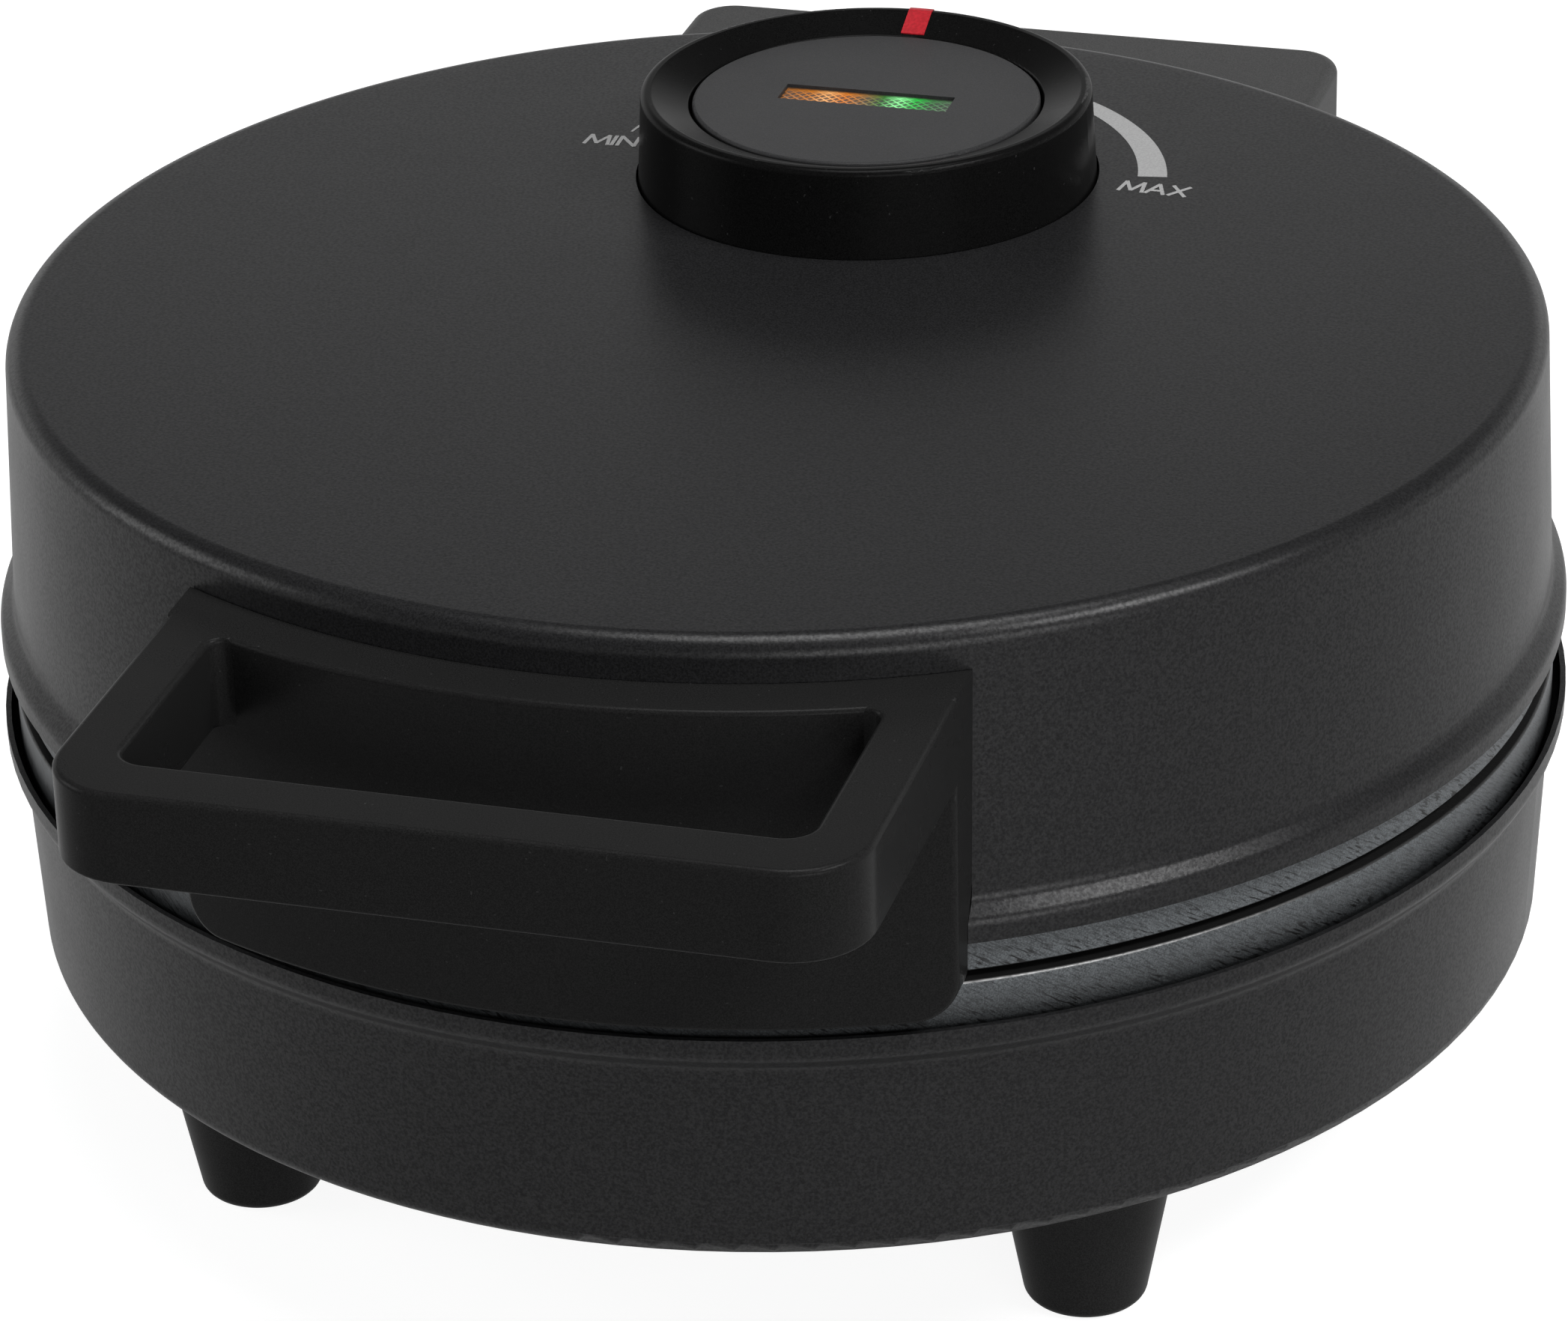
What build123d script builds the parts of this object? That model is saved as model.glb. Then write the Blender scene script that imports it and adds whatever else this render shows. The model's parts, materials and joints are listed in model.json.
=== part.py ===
from build123d import *
from math import atan2, cos, degrees, radians, sin, tan
import os

# Countertop pancake maker with a hinged lid, in millimetres.
# The model is laid out about the vertical axis of its round body, +Z up and the table at
# zero, with the handle to -Y and the hinge to +Y. At the end every node moves along Y so
# that the origin is on the table in the middle of the footprint.

# Clearances that pieces share
running = 0.05  # radial room round a pin or a spindle that turns
easy = 0.3  # room between pieces that only pass or rest near each other
screw_room = 0.15  # radial room round a screw
wall_room = 0.2  # between a moulding and the painted wall it is screwed to

# Body
lid_radius = 112.0  # lid wall, just under its shoulder
lid_height = 45.0  # lower edge of the lid to its flat top
lid_spread = 1.7  # how much wider the lid wall is at its foot
lid_shoulder = 3.0
sheet = 0.8  # steel sheet of the lid and the base
step_out = 2.2  # how far a rim stands out from its wall
step_rise = 2.6  # height that the step takes
step_bend = 2.5
rim_band = 3.0  # straight height of a rim
base_extra = 0.6  # base wall's foot outside the lid wall's head
base_height = 36.4
base_spread = 1.5
base_edge = 2.6
foot_height = 25.0
lower_band = 5.9  # lower plate seen above the base rim
upper_band = 5.5  # upper plate seen below the lid
plate_gap = 1.2  # between the closed plates

# Plates
plate_wall = 4.8
cooking_inset = 12.0  # cooking face's edge inside the lid wall's head
cooking_depth = 4.6
cooking_corner = 3.0
plate_room = 1.2  # from a plate's edge to the rim round it
plate_chamfer = 0.5
upper_inset = 0.3  # upper plate's edge further in than the lower one's

# Heating
heater_inset = 28.0  # heater's ring inside the cooking face's edge
heater_tube = 3.25
heater_gap = 22.0  # half angle left open at the back
heater_sink = 0.4  # tube's top below the plate's back
ridge_wall = 2.4
reflector_inset = 4.0  # reflector's brim inside the cooking face's edge
reflector_sheet = 0.6
reflector_flare = 3.0  # how far its side leans out
reflector_bend = 2.0
post_inset = 13.0  # posts' circle inside the cooking face's edge
post_radius = 4.5
post_room = 0.5  # round a post, where it passes the reflector
post_seat = 1.5  # how much wider than the post its seat on the plate is
terminal_room = 1.0  # round a heater's end, where it passes the reflector
screw_radius = 2.0
head_radius = 3.8
head_height = 2.4
thread_depth = 3.4

# Feet
foot_x = 62.3
foot_y = 67.8
foot_tip = 8.6
foot_taper = 10.5  # degrees from upright
foot_round = 1.2
foot_bore = 5.0
foot_shelf = 6.0  # material left above the screw's counterbore

# Handle
handle_width = 109.0
finger_room = 28.0  # depth of the opening at its middle
handle_drop = 6.0  # handle's top below the lid's top
grip_height = 13.1
grip_depth = 9.2
arm_width = 8.3
grip_corner = 11.0
opening_corner = 4.0
apron_stand = 4.7  # apron's face in front of the lid's lip
apron_lift = 3.9  # apron's lower edge above the base rim
apron_corner = 5.5
handle_edge = 0.9
handle_screw_x = 30.0

# Hinge
housing_width = 110.0
hinge_reach = 32.6  # back of the lid's hinge housing behind the lid's lip
housing_drop = 12.5  # its top below the lid's top
housing_wall = 2.6
housing_corner = 7.0
housing_edge = 2.0
pin_radius = 2.5
lug_radius = 5.2
lug_width = 8.0
lug_side_room = 0.6  # between a lug and the lid's boss beside it
lug_stand = 6.8  # pin behind the back of the base's hinge housing
lug_arm = 13.0  # how far a lug reaches forward over that housing
lug_screw_inset = 7.0  # its screw in front of that housing's back
housing_room = 0.9  # from a lug to the wall behind it
housing_plate = 6.0  # its front wall's face behind the lid wall's head
housing_lift = 8.0  # that wall's lower edge above the lid's rim
housing_screw_x = 32.0
housing_screw_drop = 14.0  # screws below the housing's top
boss_depth = 2.0
tail_gap = 2.0  # between the two hinge housings
tail_lift = 3.0  # its bottom above the base's bottom
tail_drop = 3.4  # its top below the base's rim
tail_wall = 2.6
tail_plate = 5.0  # its front wall's face behind the base wall's foot
tail_screw_x = 34.0
gland_radius = 3.6
gland_wall = 2.0
gland_collar = 7.5
gland_flange = 3.0  # thickness of its collar outside the housing
gland_nut = 2.0  # thickness of its nut inside the housing
gland_drop = 2.0  # below the middle of the base's height

# Dial
dial_inset = 60.9  # dial's axis inside the lid wall's head
dial_radius = 34.3
dial_height = 13.7  # crest above the lid
dial_draft = 0.6
dial_bore = 27.0
dial_bevel = 2.2  # how far the bevel falls towards the middle
dial_edge = 1.0
dial_crest = 1.6  # width of the ring's highest part
dial_hole = 35.4
dial_flange = 38.0
dial_web = 2.0
web_drop = 1.2  # flange's top below the lid's underside
cap_radius = 26.5
cap_drop = 1.9  # cap's face below the crest
cap_wall = 1.8
window_width = 26.4
window_depth = 6.0
lens_sink = 0.5
column_inner = 14.0
column_outer = 20.0
column_half = 28.0  # half angle of the lamp column
dial_turn = 80.0  # degrees either way from the middle of the scale
spindle_radius = 3.0
hub_radius = 6.5
hub_rise = 2.0
pointer_width = 3.7
pointer_thick = 0.9
pointer_drop = 3.6  # how far it runs down the dial's side
pointer_proud = 0.15
lamp_radius = 2.1
lamp_length = 9.0
bracket_reach = 46.0
bracket_depth = 44.0
bracket_sheet = 1.2
bracket_drop = 12.0  # bracket's top face below the lid's underside
bracket_foot = 8.0  # width of its feet under the lid
thermostat_width = 26.0
thermostat_depth = 20.0
thermostat_height = 15.0
thermostat_room = 4.0  # round it, where the reflector is open
collar_wall = 2.2
collar_rise = 4.0

# Heights from the table up, and what follows from the sizes above
base_floor = foot_height
base_middle = base_floor + base_height / 2
base_radius = lid_radius + base_extra
cooking_radius = lid_radius - cooking_inset
heater_radius = cooking_radius - heater_inset
reflector_radius = cooking_radius - reflector_inset
post_circle = cooking_radius - post_inset
base_rim = base_floor + base_height
lower_face = base_rim + lower_band
upper_face = lower_face + plate_gap
lid_rim = upper_face + upper_band
lid_top = lid_rim + lid_height
lid_under = lid_top - sheet
wall_foot = lid_radius + lid_spread
lid_lip = wall_foot + step_out
base_wall_top = base_radius + base_spread
base_lip = base_wall_top + step_out
apron_radius = lid_lip + apron_stand
handle_reach = apron_radius + finger_room + grip_depth
housing_reach = lid_lip + hinge_reach
lean = tan(atan2(step_out, step_rise) / 2)
lower_back = lower_face - cooking_depth - plate_wall
upper_back = upper_face + cooking_depth + plate_wall
handle_top = lid_top - handle_drop
grip_bottom = handle_top - grip_height
apron_bottom = base_rim + apron_lift
housing_top = lid_top - housing_drop
pin_y = housing_reach - housing_wall - housing_room - lug_radius
tail_back = pin_y - lug_stand
tail_top = base_rim - tail_drop
housing_bottom = tail_top + tail_gap
pin_z = housing_bottom
dial_y = lid_radius - dial_inset
crest = lid_top + dial_height
cap_top = crest - cap_drop
bracket_top = lid_under - bracket_drop
web_bottom = lid_under - web_drop - dial_web
lens_top = cap_top - lens_sink
post_angles = (90, 210, 330)

os.makedirs("parts", exist_ok=True)
nodes = {}


# Shared shapes
def outline(*corners):
    """Flat face through (across, up) corners; a third number rounds that corner."""
    points = [Vector(corner[0], corner[1]) for corner in corners]
    turns = []
    for i, corner in enumerate(corners):
        here = points[i]
        radius = corner[2] if len(corner) > 2 else 0
        if radius == 0:
            turns.append((here, here, here))
            continue
        back = (points[i - 1] - here).normalized()
        ahead = (points[(i + 1) % len(points)] - here).normalized()
        half = radians(back.get_angle(ahead)) / 2
        middle = here + (back + ahead).normalized() * (radius / sin(half) - radius)
        reach = radius / tan(half)
        turns.append((here + back * reach, middle, here + ahead * reach))
    edges = []
    for i, (start, middle, end) in enumerate(turns):
        if (end - start).length > 0:
            edges.append(ThreePointArc(start, middle, end))
        edges.append(Line(end, turns[(i + 1) % len(turns)][0]))
    return make_face(edges)


def turned(*corners):
    """Solid of revolution about the upright axis from (radius, height) corners."""
    return revolve(Plane.XZ * outline(*corners), axis=Axis.Z)


def drum(radius, bottom, top, x=0.0, y=0.0):
    return Pos(x, y, (bottom + top) / 2) * Cylinder(radius, top - bottom)


def ring(outer, inner, bottom, top, x=0.0, y=0.0):
    return drum(outer, bottom, top, x, y) - drum(inner, bottom - 1, top + 1, x, y)


def block(x0, x1, y0, y1, z0, z1):
    middle = Pos((x0 + x1) / 2, (y0 + y1) / 2, (z0 + z1) / 2)
    return middle * Box(x1 - x0, y1 - y0, z1 - z0)


def upright(face, bottom, top):
    """A flat face in plan, raised from bottom to top."""
    return Pos(0, 0, bottom) * extrude(face, top - bottom)


def sector(outer, inner, middle, half, bottom, top):
    """Part of a ring, half degrees either side of the middle direction."""
    tips = [Vector(0, 0)]
    for step in range(-3, 4):
        angle = radians(middle + half * step / 3)
        tips.append(Vector(cos(angle), sin(angle)) * outer * 1.6)
    wedge = upright(make_face(Polyline(*tips, close=True)), bottom, top)
    return ring(outer, inner, bottom, top) & wedge


def around(radius, angles):
    return [(radius * cos(radians(a)), radius * sin(radians(a))) for a in angles]


def keep(name, *solids):
    """One node, of one solid or of several alike ones that don't touch."""
    nodes[name] = solids[0] if len(solids) == 1 else Compound(list(solids))


# Sheet shells of the lid and the base
def lid_form(inset, growth=0.0):
    """Space inside the lid's outer face moved in by inset, or out by growth."""
    move = inset - growth
    return turned(
        (0, lid_rim - (inset > 0)),
        (lid_lip - move, lid_rim - (inset > 0)),
        (lid_lip - move, lid_rim + rim_band - move * lean, step_bend - move),
        (wall_foot - move, lid_rim + rim_band + step_rise - move * lean, step_bend + move),
        (lid_radius - move, lid_top - move, lid_shoulder - move),
        (0, lid_top - move),
    )


def base_form(inset):
    """Space inside the base's outer face moved in by inset."""
    return turned(
        (0, base_floor + inset),
        (base_radius - inset, base_floor + inset, base_edge - inset),
        (base_wall_top - inset, base_rim - rim_band - step_rise + inset * lean, step_bend + inset),
        (base_lip - inset, base_rim - rim_band + inset * lean, step_bend - inset),
        (base_lip - inset, base_rim + (inset > 0)),
        (0, base_rim + (inset > 0)),
    )


handle_screws_at = [(side * handle_screw_x, grip_bottom + grip_height / 2) for side in (-1, 1)]
housing_screws_at = [(side * housing_screw_x, housing_top - housing_screw_drop) for side in (-1, 1)]
tail_screws_at = [(side * tail_screw_x, base_middle) for side in (-1, 1)]


def cross_bore(radius, x, z, y0, y1):
    """Round bar along Y, to cut a hole or to stand as a shank."""
    bar = Pos(x, (y0 + y1) / 2, z) * Rot(90, 0, 0)
    return bar * Cylinder(radius, abs(y1 - y0))


lid_shell = lid_form(0) - lid_form(sheet)
lid_shell -= drum(dial_hole, lid_under - 1, lid_top + 1, 0, dial_y)
for x, z in handle_screws_at:
    lid_shell -= cross_bore(screw_radius + screw_room, x, z, -lid_lip, -lid_radius / 2)
for x, z in housing_screws_at:
    lid_shell -= cross_bore(screw_radius + screw_room, x, z, lid_lip, lid_radius / 2)
keep("lid_shell", lid_shell)

base_shell = base_form(0) - base_form(sheet)
vent_length = 16.0
vent_width = 3.0
vent_inset = 24.0  # vents' circle inside the heater's ring
for angle in range(15, 360, 30):
    slot = Rot(0, 0, angle) * Pos(heater_radius - vent_inset, 0, 0) * SlotOverall(vent_length, vent_width)
    base_shell -= upright(slot, base_floor - 1, base_floor + sheet + 1)
foot_places = {
    "front_left": (-foot_x, -foot_y),
    "front_right": (foot_x, -foot_y),
    "rear_left": (-foot_x, foot_y),
    "rear_right": (foot_x, foot_y),
}
for x, y in foot_places.values():
    base_shell -= drum(screw_radius + screw_room, base_floor - 1, base_floor + 2, x, y)
for x, y in around(post_circle, post_angles):
    base_shell -= drum(screw_radius + screw_room, base_floor - 1, base_floor + 2, x, y)
for x, z in tail_screws_at:
    base_shell -= cross_bore(screw_radius + screw_room, x, z, base_lip, base_radius / 2)
lead_width = 16.0
lead_hole = Pos(0, 0, base_middle) * Rot(90, 0, 0)
base_shell -= lead_hole * Pos(0, 0, -base_radius) * Cylinder(lead_width / 2, base_radius)
keep("base_shell", base_shell)


# Cast plates, each drawn as the lower one about its own cooking face
def plate(face, back, edge_radius, flange, up):
    """Cast plate with its cooking face at face; up is 1 when that face looks up."""
    ridge = back - up * (heater_tube + heater_sink)
    rim_inner = cooking_radius + plate_wall
    body = turned(
        (0, back),
        (rim_inner - 2 * plate_wall, back, plate_wall),
        (rim_inner, back + up * plate_wall / 2, plate_wall / 2),
        (rim_inner, flange),
        (edge_radius, flange, plate_chamfer),
        (edge_radius, face, plate_chamfer),
        (cooking_radius + cooking_depth / 4, face, plate_chamfer),
        (cooking_radius - cooking_depth / 4, face - up * cooking_depth, cooking_corner),
        (0, face - up * cooking_depth),
    )
    low, high = min(ridge, back), max(ridge, back)
    half = heater_tube + ridge_wall
    body += ring(heater_radius + half, heater_radius - half, low, high)
    for x, y in around(post_circle, post_angles):
        boss = (min(back, back + up), max(back, back + up))
        body += drum(post_radius + post_seat, boss[0], boss[1], x, y)
        hole = (min(back, back + up * thread_depth), max(back, back + up * thread_depth))
        body -= drum(screw_radius + running, hole[0], hole[1], x, y)
    groove = Torus(heater_radius, heater_tube + easy)
    body -= Pos(0, 0, ridge) * groove
    return body, ridge


lower_flange = base_rim - rim_band + sheet * lean + easy
upper_flange = lid_rim + rim_band - sheet * lean - easy
lower_edge = base_lip - sheet - plate_room
upper_edge = lid_lip - sheet - plate_room - upper_inset
lower_plate, lower_ridge = plate(lower_face, lower_back, lower_edge, lower_flange, 1)
upper_plate, upper_ridge = plate(upper_face, upper_back, upper_edge, upper_flange, -1)
keep("lower_plate", lower_plate)
keep("upper_plate", upper_plate)


# Tubular heaters, each an open ring with two ends turned away from its plate
cold_end = 9.0
terminal_radius = 1.2
terminal_length = 7.0
elbow_swell = 0.05


def heater(level, up):
    """Heater whose ring lies at level; its ends point away from the plate."""
    sweep_angle = 360 - 2 * heater_gap
    section = Plane.XZ * Pos(heater_radius, 0) * Circle(heater_tube)
    tube = Rot(0, 0, 90 + heater_gap) * revolve(section, axis=Axis.Z, revolution_arc=sweep_angle)
    body = Pos(0, 0, level) * tube
    for x, y in around(heater_radius, (90 - heater_gap, 90 + heater_gap)):
        tip = level - up * cold_end
        pin = tip - up * terminal_length
        body += Pos(x, y, level) * Sphere(heater_tube + elbow_swell)
        body += drum(heater_tube, min(level, tip), max(level, tip), x, y)
        body += drum(terminal_radius, min(tip, pin), max(tip, pin), x, y)
    return body


keep("lower_heater", heater(lower_ridge, 1))
keep("upper_heater", heater(upper_ridge, -1))


# Reflector dishes behind the heaters
def reflector(ridge, back, up):
    """Dish that closes the space behind a heater, with holes for what passes it."""
    floor = ridge - up * (heater_tube + easy)
    brim = back - up * easy
    inner_foot = reflector_radius - reflector_flare - reflector_sheet
    dish = turned(
        (0, floor),
        (reflector_radius - reflector_flare, floor, reflector_bend),
        (reflector_radius, brim),
        (reflector_radius - reflector_sheet, brim),
        (inner_foot, floor + up * reflector_sheet, reflector_bend - reflector_sheet),
        (0, floor + up * reflector_sheet),
    )
    return dish


def reflector_cuts(solid, bottom, top):
    for x, y in around(heater_radius, (90 - heater_gap, 90 + heater_gap)):
        solid -= drum(heater_tube + terminal_room, bottom, top, x, y)
    for x, y in around(post_circle, post_angles):
        solid -= drum(post_radius + post_room, bottom, top, x, y)
    return solid


lower_dish = reflector(lower_ridge - reflector_sheet, lower_back, 1)
keep("lower_reflector", reflector_cuts(lower_dish, base_floor, lower_back))
upper_dish = reflector(upper_ridge + reflector_sheet, upper_back, -1)
upper_dish -= drum(thermostat_width / 2 + thermostat_room, upper_back, lid_top, 0, dial_y)
keep("upper_reflector", reflector_cuts(upper_dish, upper_back, lid_top))


# Posts and long screws that hold each plate
def screw(x, y, head, tip, up):
    """Pan head screw along Z with its head's seat at head and its point at tip."""
    seat = head - up * head_height
    shank = drum(screw_radius, min(head, tip), max(head, tip), x, y)
    cap = drum(head_radius, min(seat, head), max(seat, head), x, y)
    edge = cap.edges().group_by(Axis.Z)[0 if up > 0 else -1]
    cap = fillet(edge, head_height / 3)
    slot = block(x - head_radius, x + head_radius, y - 0.5, y + 0.5, *sorted((seat, seat + up)))
    return cap + shank - slot


lower_posts = []
lower_screws = []
for x, y in around(post_circle, post_angles):
    bottom = base_floor + sheet
    lower_posts.append(ring(post_radius, screw_radius + screw_room, bottom, lower_back, x, y))
    lower_screws.append(screw(x, y, base_floor, lower_back + thread_depth - easy, 1))
keep("lower_plate_posts", *lower_posts)
keep("lower_plate_screws", *lower_screws)

frame_sheet = 1.5
frame_drop = 14.0  # frame's top below the lid's underside
frame_half = 7.5
frame_top = lid_under - frame_drop
frame_inner = post_circle + 0.5 - frame_half
frame_outer = post_circle + 0.5 + frame_half
leg_width = 18.0
pad_length = 8.0
leg_angles = (30, 150, 270)
lid_frame = ring(frame_outer, frame_inner, frame_top - frame_sheet, frame_top)
for angle in leg_angles:
    leg = block(frame_outer - frame_sheet, frame_outer, -leg_width / 2, leg_width / 2,
                frame_top - frame_sheet, lid_under)
    pad = block(frame_outer - pad_length, frame_outer, -leg_width / 2, leg_width / 2,
                lid_under - frame_sheet, lid_under)
    lid_frame += Rot(0, 0, angle) * (leg + pad)
for x, y in around(post_circle, post_angles):
    lid_frame -= drum(screw_radius + screw_room, frame_top - 2 * frame_sheet, frame_top + 1, x, y)
keep("lid_frame", lid_frame)

upper_posts = []
upper_screws = []
for x, y in around(post_circle, post_angles):
    top = frame_top - frame_sheet
    upper_posts.append(ring(post_radius, screw_radius + screw_room, upper_back, top, x, y))
    upper_screws.append(screw(x, y, frame_top, upper_back - thread_depth + easy, -1))
keep("upper_plate_posts", *upper_posts)
keep("upper_plate_screws", *upper_screws)

# Tapered feet, each held by a screw up its counterbore
foot_top = foot_tip + foot_height * tan(radians(foot_taper))
nut_height = 3.2
nut_width = 3.6
foot_screw_tip = base_floor + sheet + nut_height + screw_radius
foot_screws = []
for name, (x, y) in foot_places.items():
    foot = turned(
        (foot_bore, 0),
        (foot_tip, 0, foot_round),
        (foot_top, foot_height),
        (screw_radius + screw_room, foot_height),
        (screw_radius + screw_room, foot_height - foot_shelf),
        (foot_bore, foot_height - foot_shelf),
    )
    keep("foot_" + name, Pos(x, y, 0) * foot)
    foot_screws.append(screw(x, y, foot_height - foot_shelf, foot_screw_tip, 1))
keep("foot_screws", *foot_screws)

nuts = []
for x, y in foot_places.values():
    hexagon = RegularPolygon(nut_width, 6, major_radius=False)
    nut = Pos(x, y, 0) * upright(hexagon, base_floor + sheet, base_floor + sheet + nut_height)
    nuts.append(nut - drum(screw_radius + running, base_floor, foot_screw_tip, x, y))
keep("foot_nuts", *nuts)

# Handle: a flat grip loop on a curved apron that covers the front of the lid's rim
half_width = handle_width / 2
opening_half = half_width - arm_width
opening_back = (apron_radius ** 2 - opening_half ** 2) ** 0.5
grip = upright(
    outline(
        (-half_width, -lid_radius / 2),
        (-half_width, -handle_reach, grip_corner),
        (half_width, -handle_reach, grip_corner),
        (half_width, -lid_radius / 2),
    ),
    grip_bottom,
    handle_top,
)
opening = upright(
    outline(
        (-opening_half, -lid_radius / 2),
        (-opening_half, -handle_reach + grip_depth, opening_corner),
        (opening_half, -handle_reach + grip_depth, opening_corner),
        (opening_half, -lid_radius / 2),
    ),
    grip_bottom - 1,
    handle_top + 1,
) - drum(apron_radius, grip_bottom - 1, handle_top + 1)
back_corners = opening.edges().filter_by(Axis.Z).sort_by(Axis.Y)[-2:]
opening = fillet(back_corners, opening_corner / 2)
apron_face = outline(
    (-half_width, apron_bottom, apron_corner),
    (half_width, apron_bottom, apron_corner),
    (half_width, handle_top),
    (-half_width, handle_top),
)
apron_slab = Plane.XZ * extrude(apron_face, handle_reach)
apron = drum(apron_radius, apron_bottom, handle_top) & apron_slab
handle = grip + apron - opening
top_edges = handle.edges().group_by(Axis.Z)[-1]
handle = fillet(top_edges.filter_by(lambda e: e.center().Y < -lid_radius * 0.75), handle_edge)
handle -= lid_form(0, wall_room)
handle -= drum(lid_lip + wall_room, 0, lid_rim + 1)
screw_lip = 2.6
for x, z in handle_screws_at:
    skin = -(apron_radius ** 2 - (abs(x) + screw_radius) ** 2) ** 0.5
    handle -= cross_bore(screw_radius + running, x, z, skin + screw_lip, 0)
keep("handle", handle)


def side_screw(x, z, seat, tip):
    """Pan head screw along Y with its head's seat at seat and its point at tip."""
    out = 1 if tip > seat else -1
    shank = cross_bore(screw_radius, x, z, seat, tip)
    cap = cross_bore(head_radius, x, z, seat - out * head_height, seat)
    end = seat - out * head_height
    slot = block(x - head_radius, x + head_radius, *sorted((end, end + out)), z - 0.5, z + 0.5)
    return cap + shank - slot


def wall_inside(x, z):
    """Distance from the body axis, along Y, to the lid wall's inner face at x."""
    wall = lid_radius + lid_spread * (lid_top - z) / lid_height - sheet
    return (wall ** 2 - (abs(x) + head_radius) ** 2) ** 0.5


handle_screws = []
for x, z in handle_screws_at:
    seat = -wall_inside(x, z) + easy
    skin = -(apron_radius ** 2 - (abs(x) + screw_radius) ** 2) ** 0.5
    point = skin + screw_lip + easy
    handle_screws.append(side_screw(x, z, seat, point))
keep("handle_screws", *handle_screws)

# Hinge housing on the lid: a box open below, cut to the lid's wall
half_housing = housing_width / 2


def rounded_box(inset, front):
    """Plan of the hinge housing, its back corners rounded, moved in by inset."""
    return outline(
        (-half_housing + inset, front),
        (half_housing - inset, front),
        (half_housing - inset, housing_reach - inset, housing_corner - inset),
        (-half_housing + inset, housing_reach - inset, housing_corner - inset),
    )


housing_front = lid_radius * 0.8
housing = upright(rounded_box(0, housing_front), housing_bottom, housing_top)
rear_edges = housing.edges().group_by(Axis.Z)[-1]
housing = fillet(rear_edges.filter_by(lambda e: e.center().Y > housing_front + 1), housing_edge)
hollow = rounded_box(housing_wall, housing_front - 1)
housing -= upright(hollow, housing_bottom - 1, housing_top - housing_wall)
housing_face = lid_radius + housing_plate
screw_cover = 1.0  # material left over a screw's blind hole
housing += block(-half_housing + 1, half_housing - 1, housing_front, housing_face,
                 lid_rim + housing_lift, housing_top - 1)
housing -= lid_form(0, wall_room)
skirt_rise = 0.5  # housing's lower part stops above the lid's rim
skirt_front = lid_lip + 2.5  # the lower part's front, clear of the base's rim
housing -= drum(lid_lip + 3 * wall_room, 0, lid_rim + skirt_rise)
housing -= block(-half_housing - 1, half_housing + 1, 0, skirt_front, 0, lid_rim + skirt_rise)
side_bar = Rot(0, 90, 0)
boss_inner = half_housing - housing_wall - boss_depth
boss_outer = half_housing - housing_wall / 2
for side in (-1, 1):
    boss = Pos(side * (boss_inner + boss_outer) / 2, pin_y, pin_z) * side_bar
    housing += boss * Cylinder(lug_radius, boss_outer - boss_inner)
pin_half = boss_outer - boss_depth / 2
pin_hole = 2 * (pin_half + easy)
housing -= Pos(0, pin_y, pin_z) * side_bar * Cylinder(pin_radius + running, pin_hole)
for x, z in housing_screws_at:
    housing -= cross_bore(screw_radius + running, x, z, 0, housing_face - screw_cover)
keep("lid_hinge_housing", housing)

housing_screws = []
for x, z in housing_screws_at:
    tip = housing_face - 2 * screw_cover
    housing_screws.append(side_screw(x, z, wall_inside(x, z) - easy, tip))
keep("lid_housing_screws", *housing_screws)

hinge_pin = Pos(0, pin_y, pin_z) * side_bar * Cylinder(pin_radius, 2 * pin_half)
keep("hinge_pin", hinge_pin)

# Hinge housing on the base, with the cord's inlet
tail_bottom = base_floor + tail_lift
tail_front = base_radius * 0.8
tail_plan = outline(
    (-half_housing, tail_front),
    (half_housing, tail_front),
    (half_housing, tail_back, housing_corner / 2),
    (-half_housing, tail_back, housing_corner / 2),
)
tail_hollow = outline(
    (-half_housing + tail_wall, tail_front - 1),
    (half_housing - tail_wall, tail_front - 1),
    (half_housing - tail_wall, tail_back - tail_wall),
    (-half_housing + tail_wall, tail_back - tail_wall),
)
tail = upright(tail_plan, tail_bottom, tail_top)
tail -= upright(tail_hollow, tail_bottom + tail_wall, tail_top - tail_wall)
tail_face = base_radius + tail_plate
tail += block(-half_housing + 1, half_housing - 1, tail_front, tail_face, tail_bottom + 1, tail_top - 1)
lead_path = Pos(0, base_radius, base_middle) * Rot(90, 0, 0)
tail -= lead_path * Cylinder(lead_width / 2, 2 * (tail_back - tail_wall - base_radius))
tail -= turned(
    (0, 0),
    (base_radius + wall_room, 0),
    (base_radius + wall_room, base_floor + base_edge),
    (base_wall_top + wall_room, base_rim - rim_band - step_rise),
    (base_lip + wall_room, base_rim - rim_band),
    (base_lip + wall_room, base_rim),
    (0, base_rim),
)
for x, z in tail_screws_at:
    tail -= cross_bore(screw_radius + running, x, z, 0, tail_face - screw_cover)
gland_z = base_middle - gland_drop
neck = gland_radius + gland_wall
tail -= cross_bore(neck + screw_room, 0, gland_z, tail_back - 2 * tail_wall, tail_back + 1)

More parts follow.
